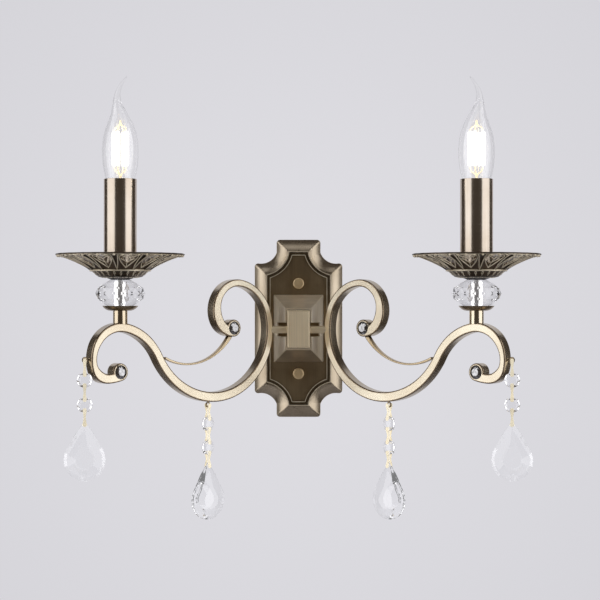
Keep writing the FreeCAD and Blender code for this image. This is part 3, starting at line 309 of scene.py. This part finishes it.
# Painted shade: the relief is darkened by depth, most in its groove and round the bead.
groove_shade_tones = ((0.0, 0.72), (0.16, 0.72), (0.30, 0.40), (0.60, 0.40), (0.95, 0.60))
panel_brass = antique_brass("plate_panel_brass", (900, 900, 25), pale=(0.66, 0.51, 0.32),
                            brown=(0.46, 0.34, 0.20), rough=(0.36, 0.46), patina_and_shade_reach=0.0015,
                            depth_shade=(-0.0140, -0.0190, groove_shade_tones), metal=0.85)
# Pale brass for worn high edges, painted there also as a highlight.
worn_and_highlight_brass = antique_brass("worn_edge_painted_highlight", (200, 200, 200), pale=(1.0, 0.90, 0.72),
                           brown=(0.90, 0.78, 0.58), rough=(0.38, 0.46), metal=0.5)
seat(finished(plate, "wall_plate", border_brass, panel_brass, worn_and_highlight_brass, sharp_over=28),
     "backplate")


# ---- Pyramid boss, centre block, bolts, rods and cap nuts
# The boss is a hollow brass frustum with a notch in each side for the rods. The solid block in it
# is brushed upright. Two bolts pull the block to the plate, and two turned nuts cap the studs.
mitre_reach, mitre_round = 0.02, 0.0010
block_round, rod_round = 0.0010, 0.0003
nut_shoulder, nut_round = -0.0240, 0.0044
face_slot, mitre_slot, underside_slot = range(3)


def on_mitre(edge):
    """The four long edges that run forwards up the frustum."""
    back, front = edge.verts
    return abs(back.co.y - front.co.y) > mitre_reach


def on_underside(face):
    return face.normal.z < -0.5 and face.material_index == face_slot


def on_nut_front(edge):
    return max(vert.co.y for vert in edge.verts) < nut_shoulder


boss_brass = antique_brass("boss_brass", (60, 500, 60), pale=(1.0, 0.90, 0.74),
                           brown=(0.84, 0.72, 0.54), rough=(0.30, 0.36), patina_and_shade_reach=0.002, metal=0.45)
# Painted shade: a darker copy of the boss's brass, for its underside.
underside_shade_brass = antique_brass("boss_underside_painted_shade", (60, 500, 60), pale=(0.62, 0.52, 0.39),
                             brown=(0.46, 0.38, 0.27), rough=(0.30, 0.36), metal=0.6)
# The mitres take the pale worn finish, also a painted highlight.
boss = ease(solid_copy("pyramid_boss"), mitre_round, on_mitre, corner=20, held_back=False,
            slot=mitre_slot)
paint(boss, underside_slot, on_underside)
seat(finished(boss, "boss_frustum", boss_brass, worn_and_highlight_brass, underside_shade_brass), "pyramid_boss")

block_brass = antique_brass("block_brass", (1100, 1100, 12), pale=(1.0, 0.86, 0.62),
                            brown=(0.94, 0.78, 0.54), rough=(0.42, 0.62), metal=0.2)
block = ease(solid_copy("centre_block"), block_round, segments=3)
seat(finished(block, "brushed_block", block_brass), "centre_block")
clad(zinc, "block_bolts")

rod_brass = antique_brass("rod_brass", (60, 60, 60), pale=(1.0, 0.88, 0.66),
                          brown=(0.92, 0.78, 0.54), rough=(0.30, 0.38), metal=0.25)
seat(finished(ease(solid_copy("arm_rods"), rod_round), "turned_rods", rod_brass), "arm_rods")

nut_brass = antique_brass("turned_brass", (60, 60, 60), pale=(0.92, 0.72, 0.44),
                          brown=(0.78, 0.58, 0.33), rough=(0.34, 0.42), patina_and_shade_reach=0.002, metal=0.4)
for place in ("upper", "lower"):
    nut = ease(solid_copy("cap_nut_" + place), nut_round, on_nut_front, segments=7, held_back=False)
    seat(finished(nut, "domed_nut_" + place, nut_brass), "cap_nut_" + place,
         body=f"cap_nut_{place}_body")


# ---- Scrolled arms, tendrils and stones
# Each arm is one flat bar of brass, bent into its scrolls, with rounded edges. Its two faces are
# bright, and its flanks and rounded edges are darkened with painted shade. The thin tendril is
# soldered to the bar, and a foiled stone sits in each scroll's end.
arm_splay = radians(40)
bar_round, tendril_round = 0.0014, 0.0006
seat_reach = 0.0011
front_slot, edge_slot, flank_slot = range(3)
arm_brass = antique_brass("arm_brass", (40, 40, 40), pale=(1.0, 0.91, 0.73),
                          brown=(0.88, 0.76, 0.58), rough=(0.28, 0.32), metal=0.75)
# Painted shade: darker copies of the bar's brass for its flanks and rounded edges.
bar_flank_shade = antique_brass("arm_flank_painted_shade", (40, 40, 40), pale=(0.66, 0.58, 0.46),
                            brown=(0.44, 0.37, 0.28), rough=(0.20, 0.26))
bar_edge_shade = antique_brass("arm_edge_painted_shade", (40, 40, 40), pale=(0.44, 0.35, 0.25),
                           brown=(0.33, 0.25, 0.17), rough=(0.20, 0.26))
tendril_brass = antique_brass("tendril_brass", (40, 40, 40), pale=(0.74, 0.61, 0.42),
                              brown=(0.52, 0.40, 0.25), rough=(0.24, 0.30), patina_and_shade_reach=0.004)


def foiled_stone():
    finish = Finish("foiled_stone", (0.62, 0.62, 0.64), Metallic=1.0)
    facets = finish.noise((420, 420, 420), detail=1)
    dark, pale = (0.30, 0.30, 0.31), (0.58, 0.58, 0.60)
    finish.feed("Base Color", finish.ramp(facets, (0.35, dark), (0.6, pale)))
    finish.feed("Roughness", finish.ramp(facets, (0.3, 0.08), (0.7, 0.20)))
    return finish.material


stone_corners = frame["nodes"]["scroll_stones"].data.vertices
stone_finder = KDTree(len(stone_corners))
for number, corner in enumerate(stone_corners):
    stone_finder.insert(corner.co, number)
stone_finder.balance()
for side, outwards in (("left", -1), ("right", 1)):
    facing = Vector((-outwards * sin(arm_splay), -cos(arm_splay), 0))

    def along_face(edge):
        """The long edges of the bar's two flat faces, without the stones' seats."""
        by_a_seat = any(stone_finder.find(vert.co)[2] < seat_reach for vert in edge.verts)
        by_a_face = any(abs(face.normal.dot(facing)) > 0.99 for face in edge.link_faces)
        return by_a_face and not by_a_seat

    def on_flank(face):
        return abs(face.normal.dot(facing)) < 0.3 and face.material_index == front_slot

    bar = ease(solid_copy(side + "_arm"), bar_round, along_face, corner=60, segments=4,
               held_back=False, slot=edge_slot)
    paint(bar, flank_slot, on_flank)
    seat(finished(bar, side + "_scrolled_bar", arm_brass, bar_edge_shade, bar_flank_shade), side + "_arm")
    tendril = ease(solid_copy(side + "_brace"), tendril_round)
    seat(finished(tendril, side + "_tendril", tendril_brass), side + "_brace")
clad(foiled_stone(), "scroll_stones")


# ---- Stem tubes, dish cups, crystal rondelles and the threaded tubes in them
# Turned brass tubes stand on the arms' crowns and carry the spun dish cups. A cut rondelle rests
# in each cup, and the nickelled threaded tube through the stack ties it together.
def cut_crystal(name, painted_sparkle=0.0):
    """Clear lead glass with a faint unevenness in its polish. It may have a faint painted glow,
    standing for its facets' sparkle.
    """
    clear, cool, cooler = (1.0, 1.0, 1.0), (0.985, 0.99, 1.0), (0.95, 0.96, 1.0)
    finish = Finish(name, clear, IOR=1.52, Transmission_Weight=1.0, Emission_Strength=painted_sparkle)
    polish = finish.noise((260, 260, 260), detail=2)
    finish.feed("Emission Color", finish.ramp(polish, (0.3, cooler), (0.7, clear)))
    finish.feed("Roughness", finish.ramp(polish, (0.3, 0.0), (0.7, 0.015)))
    finish.feed("Base Color", finish.ramp(polish, (0.3, clear), (0.7, cool)))
    return finish.material


def nickel_plating(name, colour, rough, detail, depth, strength=1.0):
    finish = Finish(name, colour, Metallic=1.0)
    polish = finish.noise((500, 500, 500), detail)
    finish.feed("Roughness", finish.ramp(polish, (0.3, rough[0]), (0.7, rough[1])))
    finish.bump(polish, depth, strength)
    return finish.material


bars_crown = 0.0064
turned_round = 0.0003
stem_brass = antique_brass("stem_brass", (60, 60, 10), pale=(0.86, 0.76, 0.60),
                           brown=(0.72, 0.61, 0.45), rough=(0.12, 0.18))
stems = solid_copy("stem_tubes")
cut = cut_across(stems, (0, 0, bars_crown), (0, 0, 1), clear_inner=True)["geom_cut"]
bmesh.ops.holes_fill(stems, edges=[part for part in cut if isinstance(part, bmesh.types.BMEdge)])
seat(finished(ease(stems, turned_round), "turned_stems", stem_brass), "stem_tubes")

cup_brass = antique_brass("cup_brass", (60, 60, 60), pale=(0.36, 0.28, 0.18),
                          brown=(0.24, 0.18, 0.11), rough=(0.24, 0.30), patina_and_shade_reach=0.004)
cups = ease(solid_copy("dish_cups"), turned_round)
seat(finished(cups, "spun_dish_cups", cup_brass), "dish_cups")

crystal = cut_crystal("cut_crystal")
clad(crystal, "left_crystal", "right_crystal")
clad(nickel_plating("bright_nickel", (0.74, 0.73, 0.71), rough=(0.08, 0.16), detail=2,
                    depth=0.00001, strength=0.5), "threaded_nipples")


# ---- Drip pans
# A cast brass dish, pierced into twelve leaves between double ribs, with a lobed and beaded rim,
# a ring at its waist and a fluted bowl below it. Its skin is dark brown, darkened more with painted
# shade in its crevices, and its ribs, veins, rim beads and waist ring are pale: rubbed, and also a
# painted highlight.
bays = 12
# radius and height where each stretch of the dish's outer skin starts, and its slope
bowl_floor = (0.0136, 0.0021, 0.10)
bowl_side = (0.0205, 0.0028, 0.90)
flank = (0.0284, 0.0098, 0.4228)
ring_radius, ring_height = flank[:2]
rim_radius = 0.0608
flank_rise = 0.0028
bending_heights = (0.0118, 0.0138, 0.0160, 0.0185, 0.0210, 0.0232)
vein_thickness, rib_thickness, sunk = 0.00032, 0.0005, 0.0001
beads_in_bay, bead_size, bead_circle, bead_height = 4, 0.0012, 0.0590, 0.0227
ring_proud, ring_half = 0.0007, 0.0009
# the points of each raised line: degrees from the middle of its bay, and millimetres from the axis
middle_vein = ((0, 30), (0, 44), (0, 57))
leaf_edge = ((0, 30.6), (8.0, 37), (11.2, 47), (8.5, 54.5), (0, 58))
double_rib = ((13.9, 29), (12.6, 44), (11.4, 59))
rim_lobe = ((0, 59.0), (7.5, 60.4), (15, 59.0))
low_vein = ((0, 37), (3.0, 40.5), (8.6, 44))
high_vein = ((0, 44), (3.0, 47.5), (8.2, 51))
leaf_curl = ((4.6, 42), (7.0, 47), (4.4, 52), (1.0, 50))
tip_curl = ((12.3, 51), (9.6, 56.5), (3.0, 59.4))
inner_flute = ((0.6, 14.5), (2.4, 20.5), (7.5, 27.4))
outer_flute = ((14.4, 14.5), (12.6, 20.5), (7.5, 27.4))
flute_vein = ((7.5, 16), (7.5, 20.5), (7.5, 24))
ribs = (leaf_edge, double_rib, rim_lobe)
veins = (low_vein, high_vein, leaf_curl, tip_curl, inner_flute, outer_flute, flute_vein)
hollow_brass = antique_brass("pan_hollow_brass", (90, 90, 90), pale=(0.16, 0.12, 0.085),
                             brown=(0.08, 0.06, 0.04), rough=(0.34, 0.44), patina_and_shade_reach=0.004)
# Pale brass for the raised lines and the waist ring: rubbed, and also a painted highlight.
rubbed_highlight_brass = antique_brass("pan_line_rubbed_highlight", (90, 90, 90), pale=(1.0, 0.90, 0.72),
                           brown=(0.84, 0.72, 0.54), rough=(0.28, 0.36), metal=0.5)


def bowed(radius):
    """How far the dish's flank rises above a straight cone at a radius from its axis."""
    share = (radius - ring_radius) / (rim_radius - ring_radius)
    return arched(min(max(share, 0.0), 1.0), flank_rise)


def under_dish(radius):
    """The height of the dish's outer skin."""
    start, height, slope = bowl_floor
    for stretch in (bowl_side, flank):
        if radius >= stretch[0]:
            start, height, slope = stretch
    return height + (radius - start) * slope + bowed(radius)


def on_dish(axis, foot, middle, hand, points):
    """A line on the dish's skin, to one hand of its bay's middle."""
    line = []
    for from_middle, millimetres in points:
        turn, radius = radians(middle + hand * from_middle), millimetres / 1000
        height = foot + under_dish(radius) - sunk
        line.append((axis.x + radius * cos(turn), axis.y + radius * sin(turn), height))
    return line


def raised_lines(name, lines, thickness, material):
    """Round lines, cast on a skin or bent from wire: each is the points of a smooth curve."""
    curve = bpy.data.curves.new(name, "CURVE")
    curve.dimensions = "3D"
    curve.resolution_u = 4
    curve.bevel_depth = thickness
    curve.bevel_resolution = 1
    curve.use_fill_caps = True
    for line in lines:
        spline = curve.splines.new("NURBS")
        spline.points.add(len(line) - 1)
        for point, place in zip(spline.points, line):
            point.co = (*place, 1)
        spline.order_u = 3
        spline.use_endpoint_u = True
    curve.materials.append(material)
    return set_out(name, curve)


def spin_round(shape, outline, axis, steps):
    """Spins an outline of radii and heights round an upright axis."""
    corners = [shape.verts.new((axis.x + radius, axis.y, height)) for radius, height in outline]
    runs = [shape.edges.new(pair) for pair in zip(corners, corners[1:])]
    bmesh.ops.spin(shape, geom=corners + runs, cent=axis, axis=(0, 0, 1), angle=tau, steps=steps,
                   use_merge=True)
    bmesh.ops.remove_doubles(shape, verts=shape.verts, dist=1e-6)
    bmesh.ops.recalc_face_normals(shape, faces=shape.faces)
    return shape


def openwork_dish(side, axis, foot):
    dish = solid_copy(side + "_drip_pan")
    for height in bending_heights:
        cut_across(dish, (0, 0, foot + height), (0, 0, 1))
    for vert in dish.verts:
        vert.co.z += bowed((vert.co.xy - axis.xy).length)
    return finished(dish, side + "_openwork_pan", hollow_brass)


def rim_beads(side, axis, foot):
    edging = bmesh.new()
    for bead in range(beads_in_bay * bays):
        turn = tau * bead / (beads_in_bay * bays)
        place = Vector((axis.x + bead_circle * cos(turn), axis.y + bead_circle * sin(turn),
                        foot + bead_height))
        ball = bmesh.ops.create_icosphere(edging, subdivisions=2, radius=bead_size)["verts"]
        bmesh.ops.translate(edging, vec=place, verts=ball)
    bmesh.ops.recalc_face_normals(edging, faces=edging.faces)
    # The rim beads take the pale worn finish, also a painted highlight.
    return finished(edging, side + "_pan_rim_beads", worn_and_highlight_brass)


def waist_ring(side, axis, foot):
    middle, corners = foot + ring_height - ring_half, 8
    section = []
    for corner in range(corners + 1):
        turn = tau * corner / corners
        section.append((ring_radius + ring_proud * cos(turn), middle + ring_half * sin(turn)))
    ring = spin_round(bmesh.new(), section, axis, steps=72)
    return finished(ring, side + "_pan_waist_ring", rubbed_highlight_brass)


for side in ("left", "right"):
    low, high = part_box(side + "_drip_pan")
    axis, foot = (low + high) / 2, low.z
    seat(openwork_dish(side, axis, foot), side + "_drip_pan")
    fine, bold = [], []
    for bay in range(bays):
        middle = (bay + 0.5) * 360 / bays
        fine.append(on_dish(axis, foot, middle, 1, middle_vein))
        for hand in (-1, 1):
            bold += [on_dish(axis, foot, middle, hand, rib) for rib in ribs]
            fine += [on_dish(axis, foot, middle, hand, vein) for vein in veins]
    seat(raised_lines(side + "_pan_veins", fine, vein_thickness, rubbed_highlight_brass))
    seat(raised_lines(side + "_pan_ribs", bold, rib_thickness, rubbed_highlight_brass))
    seat(rim_beads(side, axis, foot))
    seat(waist_ring(side, axis, foot))


# ---- Candle sleeves
# Drawn brass tubes, brushed lengthwise and lacquered, which stand in the pans and hide the
# lampholders. Their walls are thin, and the edges of their mouths are eased.
sleeve_wall, mouth_eased = 0.0009, 0.0002
sleeve_brass = antique_brass("sleeve_brass", (1400, 1400, 8), pale=(0.70, 0.62, 0.54),
                             brown=(0.62, 0.53, 0.44), rough=(0.17, 0.22))
for side in ("left", "right"):
    low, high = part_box(side + "_sleeve")
    axis, radius = (low + high) / 2, (high.x - low.x) / 2
    bore, shoulder = radius - sleeve_wall, high.z - mouth_eased
    outline = ((radius, low.z), (radius, shoulder), (radius - mouth_eased, high.z),
               (bore + mouth_eased, high.z), (bore, shoulder), (bore, low.z), (radius, low.z))
    tube = spin_round(bmesh.new(), outline, axis, steps=96)
    seat(finished(tube, side + "_candle_sleeve", sleeve_brass), side + "_sleeve")


# ---- Lampholders
# Moulded tubes of pale heat-proof plastic. They are screwed onto the threaded tubes inside the
# sleeves, and the bulbs' caps stand in their sockets.
clad(moulded_plastic("holder_thermoset", (0.62, 0.60, 0.55), (0.70, 0.68, 0.62), 0.45),
     "left_lampholder", "right_lampholder")


# ---- Flame-tip bulbs
# Clear blown glass, drawn out to a bent tip, over a nickel-plated cap. Inside, lit filament strips
# stand round a glass post on gold supports, which carry a painted glow.
def blown_glass():
    finish = Finish("blown_bulb_glass", (1.0, 1.0, 1.0), IOR=1.45, Transmission_Weight=1.0)
    ripple = finish.noise((90, 90, 30), detail=2)
    finish.feed("Roughness", finish.ramp(ripple, (0.3, 0.0), (0.7, 0.01)))
    return finish.material


def lit(name, tint, paler, strength):
    finish = Finish(name, tint, Roughness=0.5, Emission_Strength=strength)
    glow = finish.noise((300, 300, 900), detail=2)
    finish.feed("Emission Color", finish.ramp(glow, (0.3, tint), (0.7, paler)))
    return finish.material


glass = blown_glass()
phosphor = lit("lit_phosphor", (1.0, 0.92, 0.74), (1.0, 0.96, 0.84), 2.4)
# The gold supports get a weaker painted glow, for the strips' light on them.
glowing_gold = lit("gold_wire_painted_glow", (1.0, 0.80, 0.52), (1.0, 0.88, 0.66), 0.8)
cap_nickel = nickel_plating("cap_nickel", (0.62, 0.60, 0.56), rough=(0.18, 0.34), detail=3,
                            depth=0.00002)
# radii and heights in millimetres, up the outside of the glass and down its inside
blown = ((9.1, 0), (14.1, 15.2), (17.0, 29), (17.5, 41), (16.9, 51), (14.9, 61), (10.4, 72),
         (7.0, 79), (4.4, 86), (2.9, 93), (2.4, 100), (1.9, 106), (1.0, 111), (0, 111.9))
cavity = ((0, 91), (1.6, 89), (3.6, 85), (6.3, 78.6), (9.7, 71.4), (14.2, 60.6), (16.2, 50.6),
          (16.8, 41), (16.3, 29), (13.4, 15.2), (8.4, 0))
tip_start, tip_length = 0.070, 0.0419
post_outline = ((0, 0.0012), (0.004, 0.0012), (0.0016, 0.014), (0.0014, 0.070), (0, 0.0705))
strip_low, strip_high, strip_circle, first_strip_turn = 0.0278, 0.0598, 0.0063, 19
strip_radius, strip_end_radius, strip_end = 0.0022, 0.0013, 0.001
wire_radius = 0.0006
# heights of a support wire from its strip's end: twice at the strip, then twice at the bulb's axis
upper_support, lower_support = (-0.001, 0.004, 0.006, 0.011), (0.001, -0.005, -0.008, -0.014)


def blown_bulb(side, axis, foot, towards_plate):
    """The glass. Its drawn tip leans 3 mm away from the plate, then curls 6 mm towards it."""
    closed = blown + cavity + blown[:1]
    outline = [(radius / 1000, foot + height / 1000) for radius, height in closed]
    skin = spin_round(bmesh.new(), outline, axis, steps=32)
    for vert in skin.verts:
        drawn = max((vert.co.z - foot - tip_start) / tip_length, 0)
        bend = drawn ** 2 * (-0.0458 + 0.0779 * drawn - 0.0261 * drawn ** 2)
        vert.co.x += towards_plate * bend
    bulb = finished(skin, side + "_blown_bulb", glass, evened=False)
    rounding = bulb.modifiers.new("smooth_glass", "SUBSURF")
    rounding.levels = rounding.render_levels = 2
    return bulb


def support(stand, axis, end, steps):
    """A wire from a strip's end over to the bulb's axis."""
    places = (stand, stand, axis, axis)
    return [(place.x, place.y, end + step) for place, step in zip(places, steps)]


for side, towards_plate in (("left", 1), ("right", -1)):
    low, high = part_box(side + "_bulb_glass")
    axis, foot = (low + high) / 2, low.z
    axis.x = sum(corner.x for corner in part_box(side + "_sleeve")) / 2
    seat(blown_bulb(side, axis, foot, towards_plate), side + "_bulb_glass", slot="bulb_glass",
         body=side + "_bulb")
    strips, wires = bmesh.new(), []
    bottom, top = foot + strip_low, foot + strip_high
    outline = ((0, bottom), (strip_end_radius, bottom), (strip_radius, bottom + strip_end),
               (strip_radius, top - strip_end), (strip_end_radius, top), (0, top))
    for quarter in range(4):
        turn = radians(first_strip_turn + 90 * quarter)
        stand = axis + Vector((strip_circle * sin(turn), strip_circle * cos(turn), 0))
        spin_round(strips, outline, stand, steps=16)
        wires.append(support(stand, axis, top, upper_support))
        wires.append(support(stand, axis, bottom, lower_support))
    seat(finished(strips, side + "_filament_strips", phosphor), side + "_filaments",
         slot="filament_glow", body=side + "_bulb")
    seat(raised_lines(side + "_support_wires", wires, wire_radius, glowing_gold), slot="gold_wire",
         body=side + "_bulb")
    outline = [(radius, foot + height) for radius, height in post_outline]
    post = spin_round(bmesh.new(), outline, axis, steps=24)
    seat(finished(post, side + "_glass_post", glass), slot="bulb_glass", body=side + "_bulb")
    clad(cap_nickel, side + "_bulb_cap")


# ---- Crystal strings
# Each hangs from a small cast eye on the bar. Folded brass clips link two octagon beads and a
# faceted pear drop, and each clip's pin passes through the hole in a crystal.
pinch, narrowing = 0.40, 0.15
eye_brass = antique_brass("eye_brass", (60, 60, 60), pale=(0.46, 0.37, 0.26),
                          brown=(0.30, 0.23, 0.15), patina_and_shade_reach=0.002)
# The clips carry a painted glow, which stands for the studio's glare on them.
clip_brass = antique_brass("clip_brass", (60, 60, 60), pale=(1.0, 0.92, 0.72),
                           brown=(0.96, 0.85, 0.62), rough=(0.45, 0.55), metal=0.35, painted_glare=0.45)
# The drops carry a faint painted glow.
drop_crystal = cut_crystal("drop_crystal", painted_sparkle=0.03)
cuts = (("bead_1", 0.0006, crystal), ("bead_2", 0.0006, crystal), ("drop", 0.0009, drop_crystal))
pins = {joint["child"]: joint for joint in frame["joints"]}


def pinched_clip(node):
    """A folded clip, drawn in at its waist, where its two leaves meet."""
    low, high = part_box(node)
    joint = pins[node + "_link"]
    hole, pin = Vector(joint["pos_m"]), Vector(joint["axis"])
    across = pin.cross((0, 0, 1))
    clip = solid_copy(node)
    for share in (0.2, 0.35, 0.5, 0.65, 0.8):
        cut_across(clip, low.lerp(high, share), (0, 0, 1))
    for vert in clip.verts:
        from_end = arched((vert.co.z - low.z) / (high.z - low.z), 1)
        reach = vert.co - hole
        inwards = pin * (reach.dot(pin) * pinch * from_end ** 3)
        vert.co -= inwards + across * (reach.dot(across) * narrowing)
    return finished(clip, node.replace("clip", "pinched_clip"), clip_brass)


def cut_stone(node, part, chamfer, material):
    """A bead or a drop, with a fine chamfer cut along the edges of its facets."""
    stone = ease(solid_copy(node), chamfer, corner=12, segments=1)
    return finished(stone, node.replace(part, "cut_" + part), material, sharp_over=2, evened=False)


clad(eye_brass, "string_eyes")
for string in ("left_inner", "left_outer", "right_inner", "right_outer"):
    for part in ("clip_1", "clip_2", "clip_3"):
        node = f"{string}_{part}"
        seat(pinched_clip(node), node, body=node + "_link")
    for part, chamfer, material in cuts:
        node = f"{string}_{part}"
        seat(cut_stone(node, part, chamfer, material), node, slot="crystal", body=node + "_link")


# ---- Floor, backdrop, lamps and camera
# A plain pale studio: a far backdrop, painted palest in its middle as a pool of light, a small
# floor, a large soft lamp at each side and a weaker one above, in a dark room.
# The backdrop's middle colour is a painted pool of light.
wall_edge, backdrop_light_pool = (0.664, 0.657, 0.693), (0.725, 0.718, 0.755)
dark_room = (0.066, 0.055, 0.045)
paint_falloff = 0.7
lamp_aim = Vector((0, -0.1, 0))


def studio_sheet(name, width, height, place, turn, middle, plain_to):
    """A flat painted sheet, which the camera and some rays see in its own colour, unlit. Its middle
    may be painted paler, as a pool of light.
    """
    shape = bmesh.new()
    bmesh.ops.create_grid(shape, x_segments=2, y_segments=2, size=0.5)
    bmesh.ops.scale(shape, vec=(width, height, 1), verts=shape.verts)
    tilt = Matrix.Rotation(radians(turn), 3, "X")
    bmesh.ops.rotate(shape, cent=(0, 0, 0), matrix=tilt, verts=shape.verts)
    bmesh.ops.translate(shape, vec=place, verts=shape.verts)
    finish = Finish(name + "_paint", wall_edge, Roughness=0.9)
    inputs = {"Vector": finish.place, "Scale": (paint_falloff, 0.0, paint_falloff)}
    inputs = {"Vector": finish.add("ShaderNodeMapping", inputs).outputs[0]}
    nearness = finish.add("ShaderNodeTexGradient", inputs, gradient_type="SPHERICAL").outputs["Fac"]
    # Painted light: the sheet pales towards its middle, as a pool of light.
    coat = finish.ramp(nearness, (0.15, wall_edge), (0.80, middle))
    finish.feed("Base Color", coat)
    rays = finish.add("ShaderNodeLightPath").outputs
    seen = rays["Is Camera Ray"]
    for ray in plain_to:
        inputs = {0: seen, 1: rays[ray]}
        seen = finish.add("ShaderNodeMath", inputs, operation="MAXIMUM").outputs[0]
    plain = finish.add("ShaderNodeEmission", {"Color": coat, "Strength": 1.0}).outputs[0]
    lit_or_plain = {0: seen, 1: finish.shader.outputs[0], 2: plain}
    surface = finish.add("ShaderNodeMixShader", lit_or_plain).outputs[0]
    finish.tree.links.new(surface, finish.tree.nodes["Material Output"].inputs["Surface"])
    finished(shape, name, finish.material)


def dark_studio():
    """A world that the metal sees dark and the camera pale. Glass shows it pale too, and dimmer
    behind the camera."""
    world = bpy.data.worlds.new("room")
    world.use_nodes = True
    tree = world.node_tree
    rays = add_node(tree, "ShaderNodeLightPath").outputs
    heading = add_node(tree, "ShaderNodeTexCoord").outputs["Generated"]
    forwards = add_node(tree, "ShaderNodeSeparateXYZ", {0: heading}).outputs["Y"]
    inputs = {"Value": forwards, "From Min": -0.9, "From Max": -0.4, "To Min": 0.3}
    ahead = add_node(tree, "ShaderNodeMapRange", inputs).outputs[0]
    inputs = {0: ahead, 1: rays["Is Transmission Ray"]}
    through = add_node(tree, "ShaderNodeMath", inputs, operation="MULTIPLY").outputs[0]
    inputs = {0: rays["Is Camera Ray"], 1: through}
    seen = add_node(tree, "ShaderNodeMath", inputs, operation="MAXIMUM").outputs[0]
    dim = tree.nodes["Background"]
    dim.inputs["Color"].default_value = (*dark_room, 1)
    pale = add_node(tree, "ShaderNodeBackground", {"Color": (*wall_edge, 1)})
    inputs = {0: seen, 1: dim.outputs[0], 2: pale.outputs[0]}
    surface = add_node(tree, "ShaderNodeMixShader", inputs).outputs[0]
    tree.links.new(surface, tree.nodes["World Output"].inputs["Surface"])
    return world


def soft_lamp(name, place, width, height, watts):
    lamp = bpy.data.lights.new(name, "AREA")
    lamp.shape = "RECTANGLE"
    lamp.size = width
    lamp.size_y = height
    lamp.energy = watts
    holder = set_out(name, lamp)
    holder.location = place
    holder.rotation_euler = (lamp_aim - Vector(place)).to_track_quat("-Z", "Y").to_euler()
    holder.visible_camera = False


studio_sheet("backdrop", width=6.0, height=7.0, place=(0, 2.7, 1.0), turn=90, middle=backdrop_light_pool,
             plain_to=("Is Glossy Ray", "Is Transmission Ray"))
studio_sheet("floor", width=4.0, height=4.0, place=(0, 0, -1.6), turn=0, middle=wall_edge,
             plain_to=("Is Transmission Ray",))
bpy.context.scene.world = dark_studio()
for side, outwards in (("left", -1), ("right", 1)):
    soft_lamp(side + "_softbox", (outwards * 1.46, -0.78, 0.15), width=1.7, height=2.4, watts=17.6)
soft_lamp("top_softbox", (0, -0.7, 1.7), width=1.2, height=0.9, watts=1.8)

camera = set_out("camera", bpy.data.cameras.new("camera"))
camera.data.lens = 107.5
camera.data.sensor_width = 36.0
camera.location = (0.0015, -1.850, 0.0291)
camera.rotation_euler = (radians(90), 0, 0)
bpy.context.scene.camera = camera
bpy.context.scene.view_settings.view_transform = "Standard"
